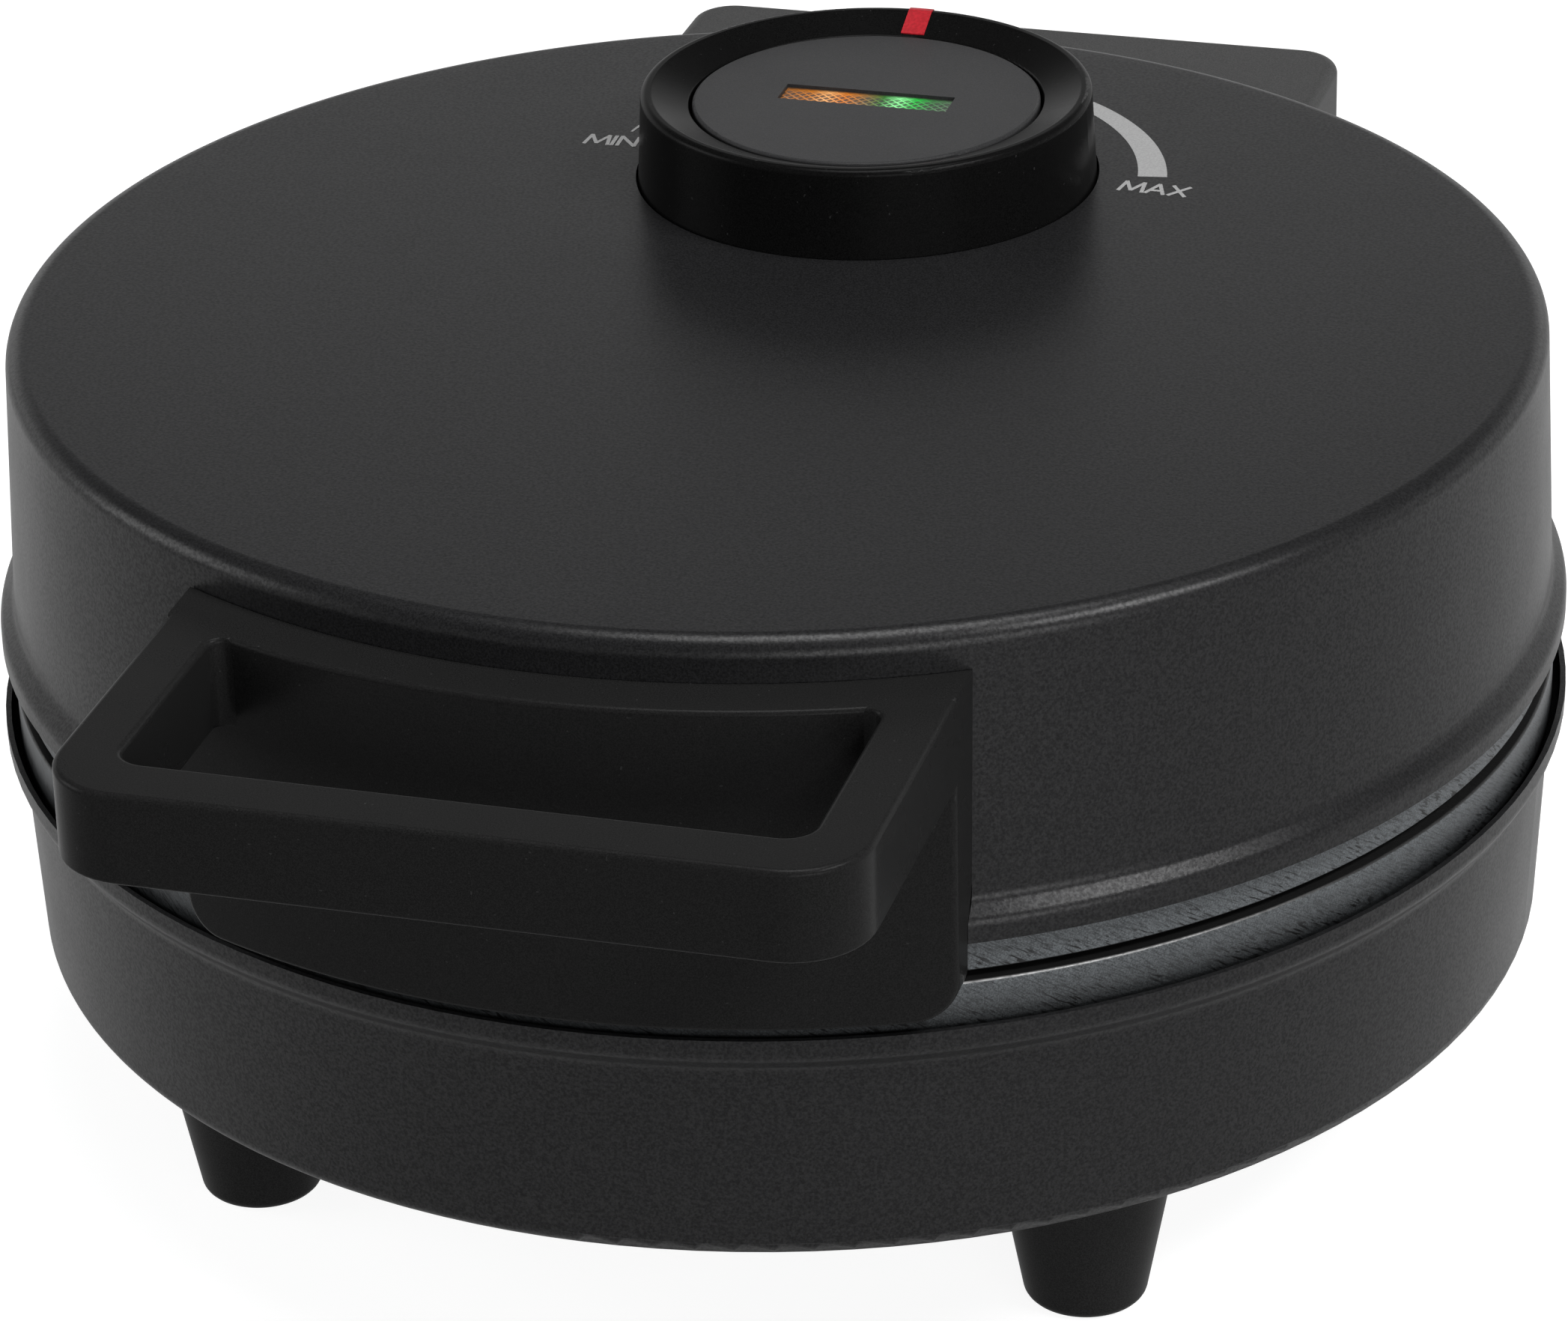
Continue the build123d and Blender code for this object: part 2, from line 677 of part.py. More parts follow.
# Two lugs for the pin, each seated on the housing's top and back and held by a screw from inside
lug_outer = boss_inner - lug_side_room
lug_middle = lug_outer - lug_width / 2
lug_top = pin_z + lug_radius
lug_screw_y = tail_back - lug_screw_inset
lug_screws = []
for name, side in (("left", -1), ("right", 1)):
    x0, x1 = sorted((side * lug_outer, side * (lug_outer - lug_width)))
    x = side * lug_middle
    lug = Pos(x, pin_y, pin_z) * side_bar * Cylinder(lug_radius, lug_width)
    lug += block(x0, x1, tail_back - lug_arm, pin_y, tail_top + running, lug_top)
    lug += block(x0, x1, tail_back + running, pin_y, pin_z - lug_radius, pin_z)
    lug -= Pos(0, pin_y, pin_z) * side_bar * Cylinder(pin_radius + running, housing_width)
    lug -= drum(screw_radius + running, tail_top, lug_top - screw_cover, x, lug_screw_y)
    keep("hinge_lug_" + name, lug)
    tail -= drum(screw_radius + screw_room, tail_top - tail_wall - 1, tail_top + 1, x, lug_screw_y)
    tip = lug_top - 2 * screw_cover
    lug_screws.append(screw(x, lug_screw_y, tail_top - tail_wall, tip, 1))
keep("base_hinge_housing", tail)
keep("lug_screws", *lug_screws)

tail_screws = []
for x, z in tail_screws_at:
    wall = base_radius + base_spread / 2 - sheet
    seat = (wall ** 2 - (abs(x) + head_radius) ** 2) ** 0.5 - easy
    tail_screws.append(side_screw(x, z, seat, tail_face - 2 * screw_cover))
keep("base_housing_screws", *tail_screws)

gland_inner = tail_back - tail_wall
gland_outer = tail_back + gland_flange
nut_face = gland_inner - running
gland = cross_bore(gland_collar, 0, gland_z, tail_back + running, gland_outer)
gland += cross_bore(neck, 0, gland_z, tail_back + 1, gland_inner - 1)
gland += cross_bore(neck + gland_wall / 2, 0, gland_z, nut_face, nut_face - gland_nut)
gland -= cross_bore(gland_radius, 0, gland_z, nut_face - gland_nut - 1, gland_outer + 1)
keep("cord_gland", gland)

# Wiring block inside the base, on its floor
wiring_width = 30.0
wiring_depth = 14.0
wiring_height = 11.0
wiring_y = 29.0
wiring_pitch = 9.0
wiring_bore = 2.2
wiring_base = base_floor + sheet
wiring_top = wiring_base + wiring_height
wiring_block = block(-wiring_width / 2, wiring_width / 2, wiring_y - wiring_depth / 2,
                     wiring_y + wiring_depth / 2, wiring_base, wiring_top)
for step in (-1, 0, 1):
    wiring_block -= drum(wiring_bore, wiring_base + wiring_height / 3, wiring_top + 1,
                         step * wiring_pitch, wiring_y)
keep("terminal_block", wiring_block)

# Thermal fuse clipped to the upper plate's back
fuse_radius = 2.4
fuse_length = 14.0
lead_radius = 0.6
lead_reach = 6.0
fuse_place = Pos(-30.0, -20.0, upper_back + fuse_radius + running) * side_bar
fuse = fuse_place * Cylinder(fuse_radius, fuse_length)
fuse += fuse_place * Cylinder(lead_radius, fuse_length + 2 * lead_reach)
keep("thermal_fuse", fuse)


# Dial: everything is drawn about its own axis, then moved to dial_y
def at_dial(solid):
    return Pos(0, dial_y, 0) * solid


turn_room = 4.0  # degrees left at each end of the dial's slot
sweep_half = column_half + dial_turn + turn_room
web_top = web_bottom + dial_web
dial_skirt = dial_radius + dial_draft * 1.3
dial = turned(
    (dial_bore, web_bottom),
    (dial_flange, web_bottom),
    (dial_flange, web_bottom + dial_web),
    (dial_skirt, web_bottom + dial_web),
    (dial_skirt, web_bottom + dial_web + 1),
    (dial_radius, crest, dial_edge),
    (dial_radius - dial_crest, crest, dial_edge / 2),
    (dial_bore, crest - dial_bevel, dial_edge / 3),
)
dial += drum(dial_bore + 1, web_bottom, web_top)
dial += drum(hub_radius, web_bottom, web_top + hub_rise)
dial -= sector(column_outer + 1, column_inner - 1, -90, sweep_half, web_bottom - 1, web_top + 1)
spindle_flat = 0.8  # how deep the flat is cut
flat = block(-spindle_radius, spindle_radius, spindle_radius - spindle_flat, spindle_radius + 1,
             web_bottom - 1, web_top + 2 * hub_rise)
bore = drum(spindle_radius + running, web_bottom - 1, web_top + hub_rise / 2)
dial -= bore - Pos(0, running, 0) * flat
pointer_start = dial_bore + 0.6
pointer_plan = block(-pointer_width / 2, pointer_width / 2, pointer_start, dial_radius + 2,
                     crest - pointer_drop, crest + 2)
cheek = turned(
    (dial_bore, crest - dial_bevel - pointer_thick),
    (dial_radius - pointer_thick, crest - pointer_thick - 0.4),
    (dial_radius - pointer_thick, crest - pointer_drop),
    (dial_radius + 3, crest - pointer_drop),
    (dial_radius + 3, crest + 3),
    (dial_bore, crest + 3),
)
dial_pocket = pointer_plan & cheek
pointer_skin = turned(
    (dial_bore, crest - dial_bevel + pointer_proud),
    (dial_radius - dial_crest, crest + pointer_proud, dial_edge / 2),
    (dial_radius + pointer_proud, crest + pointer_proud, dial_edge),
    (dial_radius + dial_draft * 0.3 + pointer_proud, crest - 2 * pointer_drop),
    (0, crest - 2 * pointer_drop),
    (0, crest - dial_bevel + pointer_proud),
)
pointer = pointer_plan & cheek & pointer_skin
keep("dial_ring", at_dial(dial - dial_pocket))
keep("dial_pointer", at_dial(pointer))

thermostat_top = upper_back + thermostat_height
spindle_grip = 6.0  # length of the spindle inside the thermostat
spindle_bottom = thermostat_top - spindle_grip
collar_radius = spindle_radius + collar_wall
spindle = drum(spindle_radius, spindle_bottom, web_top + hub_rise / 2 - easy)
spindle -= Pos(0, -running, 0) * flat
keep("thermostat_spindle", at_dial(spindle))

half_x = thermostat_width / 2
half_y = thermostat_depth / 2
thermostat = block(-half_x, half_x, -half_y, half_y, upper_back + running, thermostat_top)
thermostat += drum(collar_radius, thermostat_top - 1, thermostat_top + collar_rise)
thermostat -= drum(spindle_radius + running, spindle_bottom - running, lid_top)
keep("thermostat", at_dial(thermostat))

# Bracket under the lid that carries the lamp column and steadies the spindle
half_bracket = bracket_depth / 2
floor_bottom = bracket_top - bracket_sheet
bracket = block(-bracket_reach, bracket_reach, -half_bracket, half_bracket, floor_bottom, bracket_top)
for side in (-1, 1):
    edge = side * bracket_reach
    inner = side * (bracket_reach - bracket_sheet)
    outer = side * (bracket_reach + bracket_foot)
    bracket += block(*sorted((inner, edge)), -half_bracket, half_bracket, floor_bottom, lid_under)
    bracket += block(*sorted((inner, outer)), -half_bracket, half_bracket,
                     lid_under - bracket_sheet, lid_under)
bracket -= drum(collar_radius + easy, floor_bottom - 1, bracket_top + 1)
keep("dial_bracket", at_dial(bracket))

# Lamp column, standing on the bracket through the arc slot of the dial's web
cap_under = cap_top - cap_wall
shelf_drop = 7.5  # lamps' shelf below the cap
shelf_wall = 1.8
shelf_brim = 1.6  # how far the shelf reaches beyond the window
shelf_arm = 6.0  # half width of the arm between column and shelf
divider = 0.5  # half thickness of the wall between the lamps
divider_rise = 3.0
shelf_top = cap_under - shelf_drop
shelf_bottom = shelf_top - shelf_wall
half_window = window_depth / 2
column = sector(column_outer, column_inner, -90, column_half, bracket_top, cap_under)
column += block(-shelf_arm, shelf_arm, -column_inner - 1, -half_window, shelf_bottom, shelf_top)
lamp_x = window_width / 4 + 0.2
half_shelf = window_width / 2 + shelf_brim
column += block(-half_shelf, half_shelf, -half_window - shelf_brim, half_window + shelf_brim,
                shelf_bottom, shelf_top)
column += block(-divider, divider, -half_window, half_window, shelf_top, shelf_top + divider_rise)
keep("lamp_column", at_dial(column))

lamp_level = shelf_top + lamp_radius + 2 * running
for name, x in (("heating_lamp", -lamp_x), ("ready_lamp", lamp_x)):
    lamp = side_bar * Cylinder(lamp_radius, lamp_length)
    lamp = fillet(lamp.edges(), lamp_radius * 0.6)
    keep(name, at_dial(Pos(x, 0, lamp_level) * lamp))

cap_edge = 0.5
cap = turned(
    (0, cap_under),
    (cap_radius, cap_under),
    (cap_radius, cap_top, cap_edge),
    (0, cap_top),
)
window_half = (window_width / 2, window_depth / 2)


def window_block(growth, bottom, top):
    """Block as large as the lamp window, grown on all sides."""
    x = window_half[0] + growth
    y = window_half[1] + growth
    return block(-x, x, -y, y, bottom, top)


cap -= window_block(0, cap_under - 1, cap_top + 1)
keep("dial_cap", at_dial(cap))

pane_room = 0.1  # between the window's edge and the lens
lens_brim = 1.2
lens_under = cap_under - 1.0
lens = window_block(-pane_room, lens_under, lens_top)
lens += window_block(lens_brim, lens_under, cap_under - pane_room)
keep("lamp_lens", at_dial(lens))

# The origin goes to the middle of the footprint
middle_shift = Pos(0, (handle_reach - housing_reach) / 2, 0)
for name, solid in nodes.items():
    export_step(middle_shift * solid, "parts/" + name + ".step")
    print(name, round(solid.volume / 1000, 2), "cm3")
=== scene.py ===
# %% [markdown]
# # A pancake maker, dressed for the studio
# The solids of the pancake maker are already built at their real size. This notebook loads them
# as a fixed frame and gives every one its finish. Where the eye comes closer than a solid does,
# as at the pressed lid, the turned plate edges or the printed scale, a finer surface takes its
# place. The table is at height zero, the handle points towards -Y and the hinge towards +Y.

# %% Load the frame
import json

import bmesh
import bpy
import numpy as np
from mathutils import Matrix, Vector


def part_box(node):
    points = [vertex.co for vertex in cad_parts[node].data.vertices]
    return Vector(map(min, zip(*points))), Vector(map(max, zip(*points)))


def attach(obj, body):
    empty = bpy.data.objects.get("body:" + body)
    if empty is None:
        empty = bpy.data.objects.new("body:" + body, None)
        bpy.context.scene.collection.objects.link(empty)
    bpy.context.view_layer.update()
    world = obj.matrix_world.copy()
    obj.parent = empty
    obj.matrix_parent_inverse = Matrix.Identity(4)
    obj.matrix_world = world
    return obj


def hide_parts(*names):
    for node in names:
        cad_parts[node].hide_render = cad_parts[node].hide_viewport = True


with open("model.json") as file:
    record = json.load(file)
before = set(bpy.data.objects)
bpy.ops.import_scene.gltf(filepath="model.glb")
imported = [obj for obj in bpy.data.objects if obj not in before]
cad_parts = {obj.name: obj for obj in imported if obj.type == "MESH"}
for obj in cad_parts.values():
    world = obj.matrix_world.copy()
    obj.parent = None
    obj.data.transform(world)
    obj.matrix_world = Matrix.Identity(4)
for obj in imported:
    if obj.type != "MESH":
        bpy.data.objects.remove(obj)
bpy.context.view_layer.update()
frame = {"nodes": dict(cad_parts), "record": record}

mm = 0.001

# %% [markdown]
# Everything drawn here has to sit on what carries it, so its place is read from the solids.
# Half the width of a round solid is its radius, and the middle of its box is its axis.

# %% Read the main sizes from the solids


def reach(node):
    """Lowest corner, highest corner and middle of a solid's box, in millimetres."""
    low, high = (np.array(corner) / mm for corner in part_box(node))
    return low, high, (low + high) / 2


lid_low, lid_high, _ = reach("lid_shell")
_, _, body_middle = reach("lower_plate")
_, _, dial_middle = reach("dial_cap")
body_axis = np.array([0.0, body_middle[1]])
dial_axis = np.array([0.0, dial_middle[1]])
lid_top = lid_high[2]
lid_rim = lid_low[2]
lid_lip = lid_high[0]
print("lid from", round(lid_rim, 1), "to", round(lid_top, 1), "mm above the table")
print("radius of its lip", round(lid_lip, 1), "mm")

# %% [markdown]
# ## The camera
# The photograph was taken from the front, a little to the object's right, with a long lens. The
# lens, the distance and the angles come from fitting the ellipses of the lid and the rims. The
# picture had been cropped, so the optical axis lies a little off its middle: that is the shift.

# %% Place the camera
photo_width, photo_height = 2094, 1764
axis_column, axis_row = 1049.9, 936.9
focal_pixels = 8400.0
sensor_width = 36.0
nearest, farthest = 0.05, 30.0
turn_right, look_down, roll = np.radians([16.4, 26.93, -1.42])
camera_place = np.array([238.4, body_axis[1] - 810.0, 482.1]) * mm

right = np.array([np.cos(turn_right), np.sin(turn_right), 0.0])
away = np.array([-np.sin(turn_right), np.cos(turn_right), 0.0])
up = np.array([0.0, 0.0, 1.0])
forward = away * np.cos(look_down) - up * np.sin(look_down)
above = away * np.sin(look_down) + up * np.cos(look_down)
rolled_right = right * np.cos(roll) + above * np.sin(roll)
rolled_above = above * np.cos(roll) - right * np.sin(roll)

lens = bpy.data.cameras.new("studio_camera")
lens.sensor_fit = "HORIZONTAL"
lens.sensor_width = sensor_width
lens.lens = focal_pixels / photo_width * sensor_width
lens.shift_x = (photo_width / 2 - axis_column) / photo_width
lens.shift_y = (axis_row - photo_height / 2) / photo_width
lens.clip_start, lens.clip_end = nearest, farthest
camera = bpy.data.objects.new("studio_camera", lens)
pose = np.eye(4)
pose[:3] = np.stack([rolled_right, rolled_above, -forward, camera_place], -1)
camera.matrix_world = Matrix(pose.tolist())
bpy.context.scene.collection.objects.link(camera)
bpy.context.scene.camera = camera
print("lens", round(lens.lens, 1), "mm, shift", round(lens.shift_x, 4), round(lens.shift_y, 4))

# %% [markdown]
# ## Building a finish
# A finish is a small graph of nodes. A few helpers keep the cells short: one starts a material
# with its constant values, one adds a node, and the others name what a group of nodes does.

# %% Helpers for finishes


def start_finish(name, **constants):
    """New material; each keyword is a socket of its main shader, with _ for a space."""
    finish = bpy.data.materials.new(name)
    finish.use_nodes = True
    shader = finish.node_tree.nodes["Principled BSDF"]
    for socket, value in constants.items():
        shader.inputs[socket.replace("_", " ")].default_value = value
    return finish


def add(finish, kind, inputs=None, **settings):
    """Adds a node: a value that is a socket is linked, any other value is set."""
    node = finish.node_tree.nodes.new("ShaderNode" + kind)
    for name, value in settings.items():
        setattr(node, name, value)
    for name, value in (inputs or {}).items():
        if isinstance(value, bpy.types.NodeSocket):
            finish.node_tree.links.new(value, node.inputs[name])
        else:
            node.inputs[name].default_value = value
    return node


def join(finish, **sockets):
    """Links sockets to the main shader's inputs of those names, with _ for a space."""
    shader = finish.node_tree.nodes["Principled BSDF"]
    for name, socket in sockets.items():
        finish.node_tree.links.new(socket, shader.inputs[name.replace("_", " ")])


def sums(finish, operation, *values):
    """One Math node of that operation."""
    return add(finish, "Math", dict(enumerate(values)), operation=operation).outputs[0]


def grain(finish, size, detail=2.0, longer=(1.0, 1.0, 1.0), turn=(0.0, 0.0, 0.0), where=None):
    """Noise from 0 to 1 whose blotches are about size metres across, and longer by three factors
    along axes that are turned first."""
    place = where or add(finish, "TexCoord").outputs["Object"]
    inputs = {"Vector": place, "Rotation": turn, "Scale": longer}
    mapped = add(finish, "Mapping", inputs, vector_type="TEXTURE").outputs["Vector"]
    noise = {"Vector": mapped, "Scale": 1 / size, "Detail": detail}
    return add(finish, "TexNoise", noise).outputs["Fac"]


def between(finish, factor, low, high, start=0.3, stop=0.7):
    """A number that runs from low to high while the factor runs from start to stop."""
    inputs = {"Value": factor, "From Min": start, "From Max": stop, "To Min": low, "To Max": high}
    return add(finish, "MapRange", inputs).outputs["Result"]


def blend(finish, factor, first, second):
    """Colour that turns from first to second as the factor goes from 0 to 1."""
    node = add(finish, "Mix", {0: factor, 6: first, 7: second}, data_type="RGBA")
    return node.outputs[2]


def raised(finish, height, depth, under=None):
    """Bump of a depth in metres from a height between 0 and 1, on top of another bump."""
    inputs = {"Height": height, "Distance": depth, "Strength": 1.0}
    if under:
        inputs["Normal"] = under
    return add(finish, "Bump", inputs).outputs["Normal"]


def grey(level, blue=0.0):
    """Even grey, with a share of blue more, or less where it is negative."""
    return (level, level, level * (1 + blue), 1.0)


print("finish helpers ready")

# %% [markdown]
# ## Textured coats
# The sheet is powder coated: the powder melts into a skin of tiny hills, so light breaks into fine
# specks and reflections are soft. Small spots of it mirror less than their neighbours, which keeps
# the grain visible on the lid's top, where the eye sees mostly the mirrored room. Moulded plastic
# has a finer, spark-eroded grain. Both are the same recipe with other sizes: fine noise bends the
# normal and tints the colour, and a broad noise varies the gloss, because no real skin is equally
# thick everywhere. Such skins mirror weakly from above, so their index of refraction is low.

# %% Recipe of a coat
crisp, rare = (0.36, 0.64), (0.83, 0.87)
cloud_size, mote_size = 14 * mm, 0.5 * mm
spot_factor, soft_factor = 1.8, 3
usual_level, gloss_swing = 0.5, 0.02
mote_tone = grey(0.5)


def grainy_coat(name, dark, light, roughness, fine, depth, dust=0.0, mottle=0.0, **constants):
    """Skin with a grain of fine metres and a bump of depth metres; dust adds pale specks, and
    mottle makes small spots mirror more or less than their neighbours."""
    finish = start_finish(name, **constants)
    small = grain(finish, fine, detail=1.0)
    broad = grain(finish, cloud_size, detail=4.0)
    colour = blend(finish, between(finish, small, 0.0, 1.0, *crisp), dark, light)
    if dust:
        motes = grain(finish, mote_size, detail=0.0)
        colour = blend(finish, between(finish, motes, 0.0, dust, *rare), colour, mote_tone)
    if mottle:
        spots = grain(finish, spot_factor * fine, detail=1.0)
        level = between(finish, spots, usual_level - mottle, usual_level + mottle, *crisp)
        join(finish, Specular_IOR_Level=level)
    gloss = between(finish, broad, roughness - gloss_swing, roughness + gloss_swing)
    soft = raised(finish, grain(finish, soft_factor * fine, detail=0.0), depth / 2)
    join(finish, Base_Color=colour, Roughness=gloss, Normal=raised(finish, small, depth, soft))
    return finish


print("a coat's grain turns from dark to light between", crisp)

# %% [markdown]
# Each coat is now a line of numbers: its darkest and lightest colour, its roughness, the size of
# its grain and the depth of its bump.

# %% Coats and plastics
powder_coat = grainy_coat(
    "powder_coat", grey(0.008, 0.05), grey(0.016, 0.05), 0.32, 0.27 * mm, 0.010 * mm,
    mottle=0.16, IOR=1.3,
)
housing_plastic = grainy_coat(
    "housing_plastic", grey(0.032), grey(0.056), 0.4, 0.24 * mm, 0.008 * mm, IOR=1.2
)
handle_plastic = grainy_coat(
    "handle_plastic", grey(0.009), grey(0.016), 0.28, 0.2 * mm, 0.004 * mm, 0.04, IOR=1.13
)
foot_plastic = grainy_coat(
    "foot_plastic", grey(0.012), grey(0.024), 0.35, 0.2 * mm, 0.006 * mm, IOR=1.15
)
gland_plastic = grainy_coat(
    "gland_plastic", grey(0.012), grey(0.02), 0.4, 0.15 * mm, 0.005 * mm, IOR=1.2
)
dial_plastic = grainy_coat(
    "dial_plastic", grey(0.0025), grey(0.006), 0.28, 0.18 * mm, 0.003 * mm, 0.04, IOR=1.13
)
cap_plastic = grainy_coat(
    "cap_plastic", grey(0.027, 0.03), grey(0.040, 0.03), 0.4, 0.18 * mm, 0.005 * mm, IOR=1.2
)
pointer_red = grainy_coat(
    "pointer_red", (0.32, 0.004, 0.010, 1), (0.44, 0.009, 0.019, 1), 0.35, 0.5 * mm, 0.003 * mm
)
ceramic = grainy_coat("ceramic", grey(0.62, -0.12), grey(0.75, -0.1), 0.6, 0.4 * mm, 0.01 * mm)
column_plastic = grainy_coat(
    "column_plastic", grey(0.55, -0.15), grey(0.68, -0.12), 0.45, 0.3 * mm, 0.004 * mm
)
print("coats ready, the sheet's with", len(powder_coat.node_tree.nodes), "nodes")

# %% [markdown]
# ## Metals
# Metals keep the trace of the tool that made them: rolled sheet has long streaks and plated screws
# have cloudy patches. A noise that is stretched along one direction gives streaks, and its
# roughness is what makes metal look worked rather than wet.

# %% Metal finishes
streak_size, patch_size = 0.3 * mm, 6 * mm
smoother, rougher = 0.08, 0.1


def worked_metal(name, dark, light, roughness, streak, depth, patch=patch_size):
    """Metal with streaks that are longer by the three factors in streak."""
    finish = start_finish(name, Metallic=1.0)
    lines = grain(finish, streak_size, detail=3.0, longer=streak)
    cloud = grain(finish, patch, detail=4.0)
    colour = blend(finish, between(finish, cloud, 0.0, 1.0), dark, light)
    gloss = between(finish, lines, roughness - smoother, roughness + rougher)
    join(finish, Base_Color=colour, Roughness=gloss, Normal=raised(finish, lines, depth))
    return finish


plated_steel = worked_metal(
    "plated_steel", (0.42, 0.42, 0.45, 1), (0.6, 0.6, 0.6, 1), 0.32, (1, 1, 5), 0.003 * mm
)
aluminised_sheet = worked_metal(
    "aluminised_sheet", grey(0.6), grey(0.76), 0.34, (30, 1, 1), 0.003 * mm
)
heater_steel = worked_metal(
    "heater_steel", (0.16, 0.14, 0.13, 1), (0.36, 0.31, 0.26, 1), 0.45, (1, 1, 1), 0.004 * mm,
    patch=9 * mm,
)
print("metals ready")

# %% [markdown]
# The plates are the most worked surface. Their edge was turned, and the tool left slanted marks
# that the thin non-stick coat doesn't hide. The marks follow the edge, so they are drawn in a map
# that unrolls it: metres along the edge, and height. Four attributes, which the plates' meshes get
# further on, say where things happen. The one named turned_edge is the turned band, lower_down
# runs from its upper to its lower border, a third is painted shade, darkening the foot of the lower
# plate's band where the base's rim shadows it, and bare is the sharp upper border, where the coat
# has worn through and the aluminium shows.

# %% Map and marks of the turned edge
cast = start_finish("nonstick_cast", Specular_IOR_Level=0.4)
slant = (0, 0, np.radians(-33))
speckle_size, scratch_size, notch_size = 0.24 * mm, 0.26 * mm, 0.42 * mm
group_size = 7 * mm


def attribute(finish, name):
    """Value that the mesh itself carries under that name."""
    return add(finish, "Attribute", attribute_name=name).outputs["Fac"]


edge_map = add(cast, "UVMap", uv_map="along_and_across").outputs["UV"]
along_edge = add(cast, "SeparateXYZ", {"Vector": edge_map}).outputs["X"]
solid_place = add(cast, "TexCoord").outputs["Object"]
solid_parts = add(cast, "SeparateXYZ", {"Vector": solid_place}).outputs
unrolled = add(cast, "CombineXYZ", {"X": along_edge, "Y": solid_parts["Z"]}).outputs["Vector"]
speckle = grain(cast, speckle_size, detail=3.0)
scratches = grain(cast, scratch_size, detail=1.0, longer=(9, 1, 1), turn=slant, where=unrolled)
notches = grain(cast, notch_size, detail=1.0, longer=(6, 1, 1), turn=slant, where=unrolled)
groups = grain(cast, group_size, detail=1.0)
print("marks lean", round(np.degrees(slant[2])), "degrees")

# %% [markdown]
# The deep notches keep to the lower half of the band and come in groups, as a worn tool leaves
# them, and the faint scratches are everywhere. The worn border is bare aluminium, and it is made
# bright only at the front as a painted highlight, where the light catches the edge's round.

# %% Tones of the plates
dark_coat, pale_coat = (0.045, 0.049, 0.052, 1), (0.15, 0.163, 0.173, 1)
scored_tone, groove_shade_tone, bare_tone = grey(0.006, 0.1), grey(0.003), grey(0.42)
highlight_front, highlight_fade_end = -95 * mm, -55 * mm
worn_size = 1.2 * mm
scratch_depth, speckle_depth = 0.015 * mm, 0.02 * mm

near_foot = between(cast, attribute(cast, "lower_down"), 0.1, 1.0, 0.3, 0.8)
deep = sums(cast, "MULTIPLY", between(cast, notches, 1, 0, 0.38, 0.44), near_foot)
deep = sums(cast, "MULTIPLY", deep, between(cast, groups, 0.3, 1.0, 0.4, 0.55))
faint = between(cast, scratches, 0.45, 0, 0.36, 0.50)
scored = sums(cast, "MAXIMUM", deep, faint)
coat_tone = blend(cast, between(cast, speckle, 0, 1), dark_coat, pale_coat)
turned_tone = blend(cast, scored, coat_tone, scored_tone)
# painted shade: the foot of the lower plate's band is darkened where the base's rim shadows it
turned_tone = blend(cast, attribute(cast, "groove_shade"), turned_tone, groove_shade_tone)
plain_tone = blend(cast, between(cast, speckle, 0, 1), grey(0.012), grey(0.022))
marked_tone = blend(cast, attribute(cast, "turned_edge"), plain_tone, turned_tone)
# painted highlight: the bare border is made bright only towards the front, where the light catches
# its round
front_highlight_share = between(cast, solid_parts["Y"], 1, 0.05, highlight_front, highlight_fade_end)
worn_spots = between(cast, grain(cast, worn_size), 0.4, 1)
bare_and_highlight = sums(cast, "MULTIPLY", attribute(cast, "bare"), worn_spots)
bare_and_highlight = sums(cast, "MULTIPLY", bare_and_highlight, front_highlight_share)
join(
    cast,
    Base_Color=blend(cast, bare_and_highlight, marked_tone, bare_tone),
    Metallic=between(cast, bare_and_highlight, 0.2, 1.0, 0, 1),
    Roughness=between(cast, speckle, 0.36, 0.5),
    Normal=raised(cast, scratches, scratch_depth, raised(cast, speckle, speckle_depth)),
)
print("plate finish has", len(cast.node_tree.nodes), "nodes")

# %% [markdown]
# ## Lamps and their window
# Both lamps are lit in the photograph: orange on the left and green on the right.

# %% Lamp finishes
glow_patch = 2.2 * mm
lamp_strength = 1.5


def lit_lamp(name, colour, pale):
    """Lamp that glows in patches of two colours."""
    finish = start_finish(name, Roughness=0.3, Emission_Strength=lamp_strength)
    warm = blend(finish, between(finish, grain(finish, glow_patch), 0, 1), colour, pale)
    join(finish, Base_Color=warm, Emission_Color=warm)
    return finish


lamp_orange = lit_lamp("lamp_orange", (0.95, 0.30, 0.03, 1), (1.0, 0.62, 0.3, 1))
lamp_green = lit_lamp("lamp_green", (0.05, 0.75, 0.12, 1), (0.5, 1.0, 0.5, 1))
print("lamps ready")

# %% [markdown]
# The window over the lamps is a clear moulding whose underside is cut into small diamonds, which
# spread each lamp into a patch of bright points. That light is painted: the window glows by itself,
# and its colour runs along it as the light of the two lamps does: each has a hot spot, and between
# them it is dim.

# %% Painted glow colours along the window
window_half_length, window_half_width = 13.1 * mm, 2.9 * mm
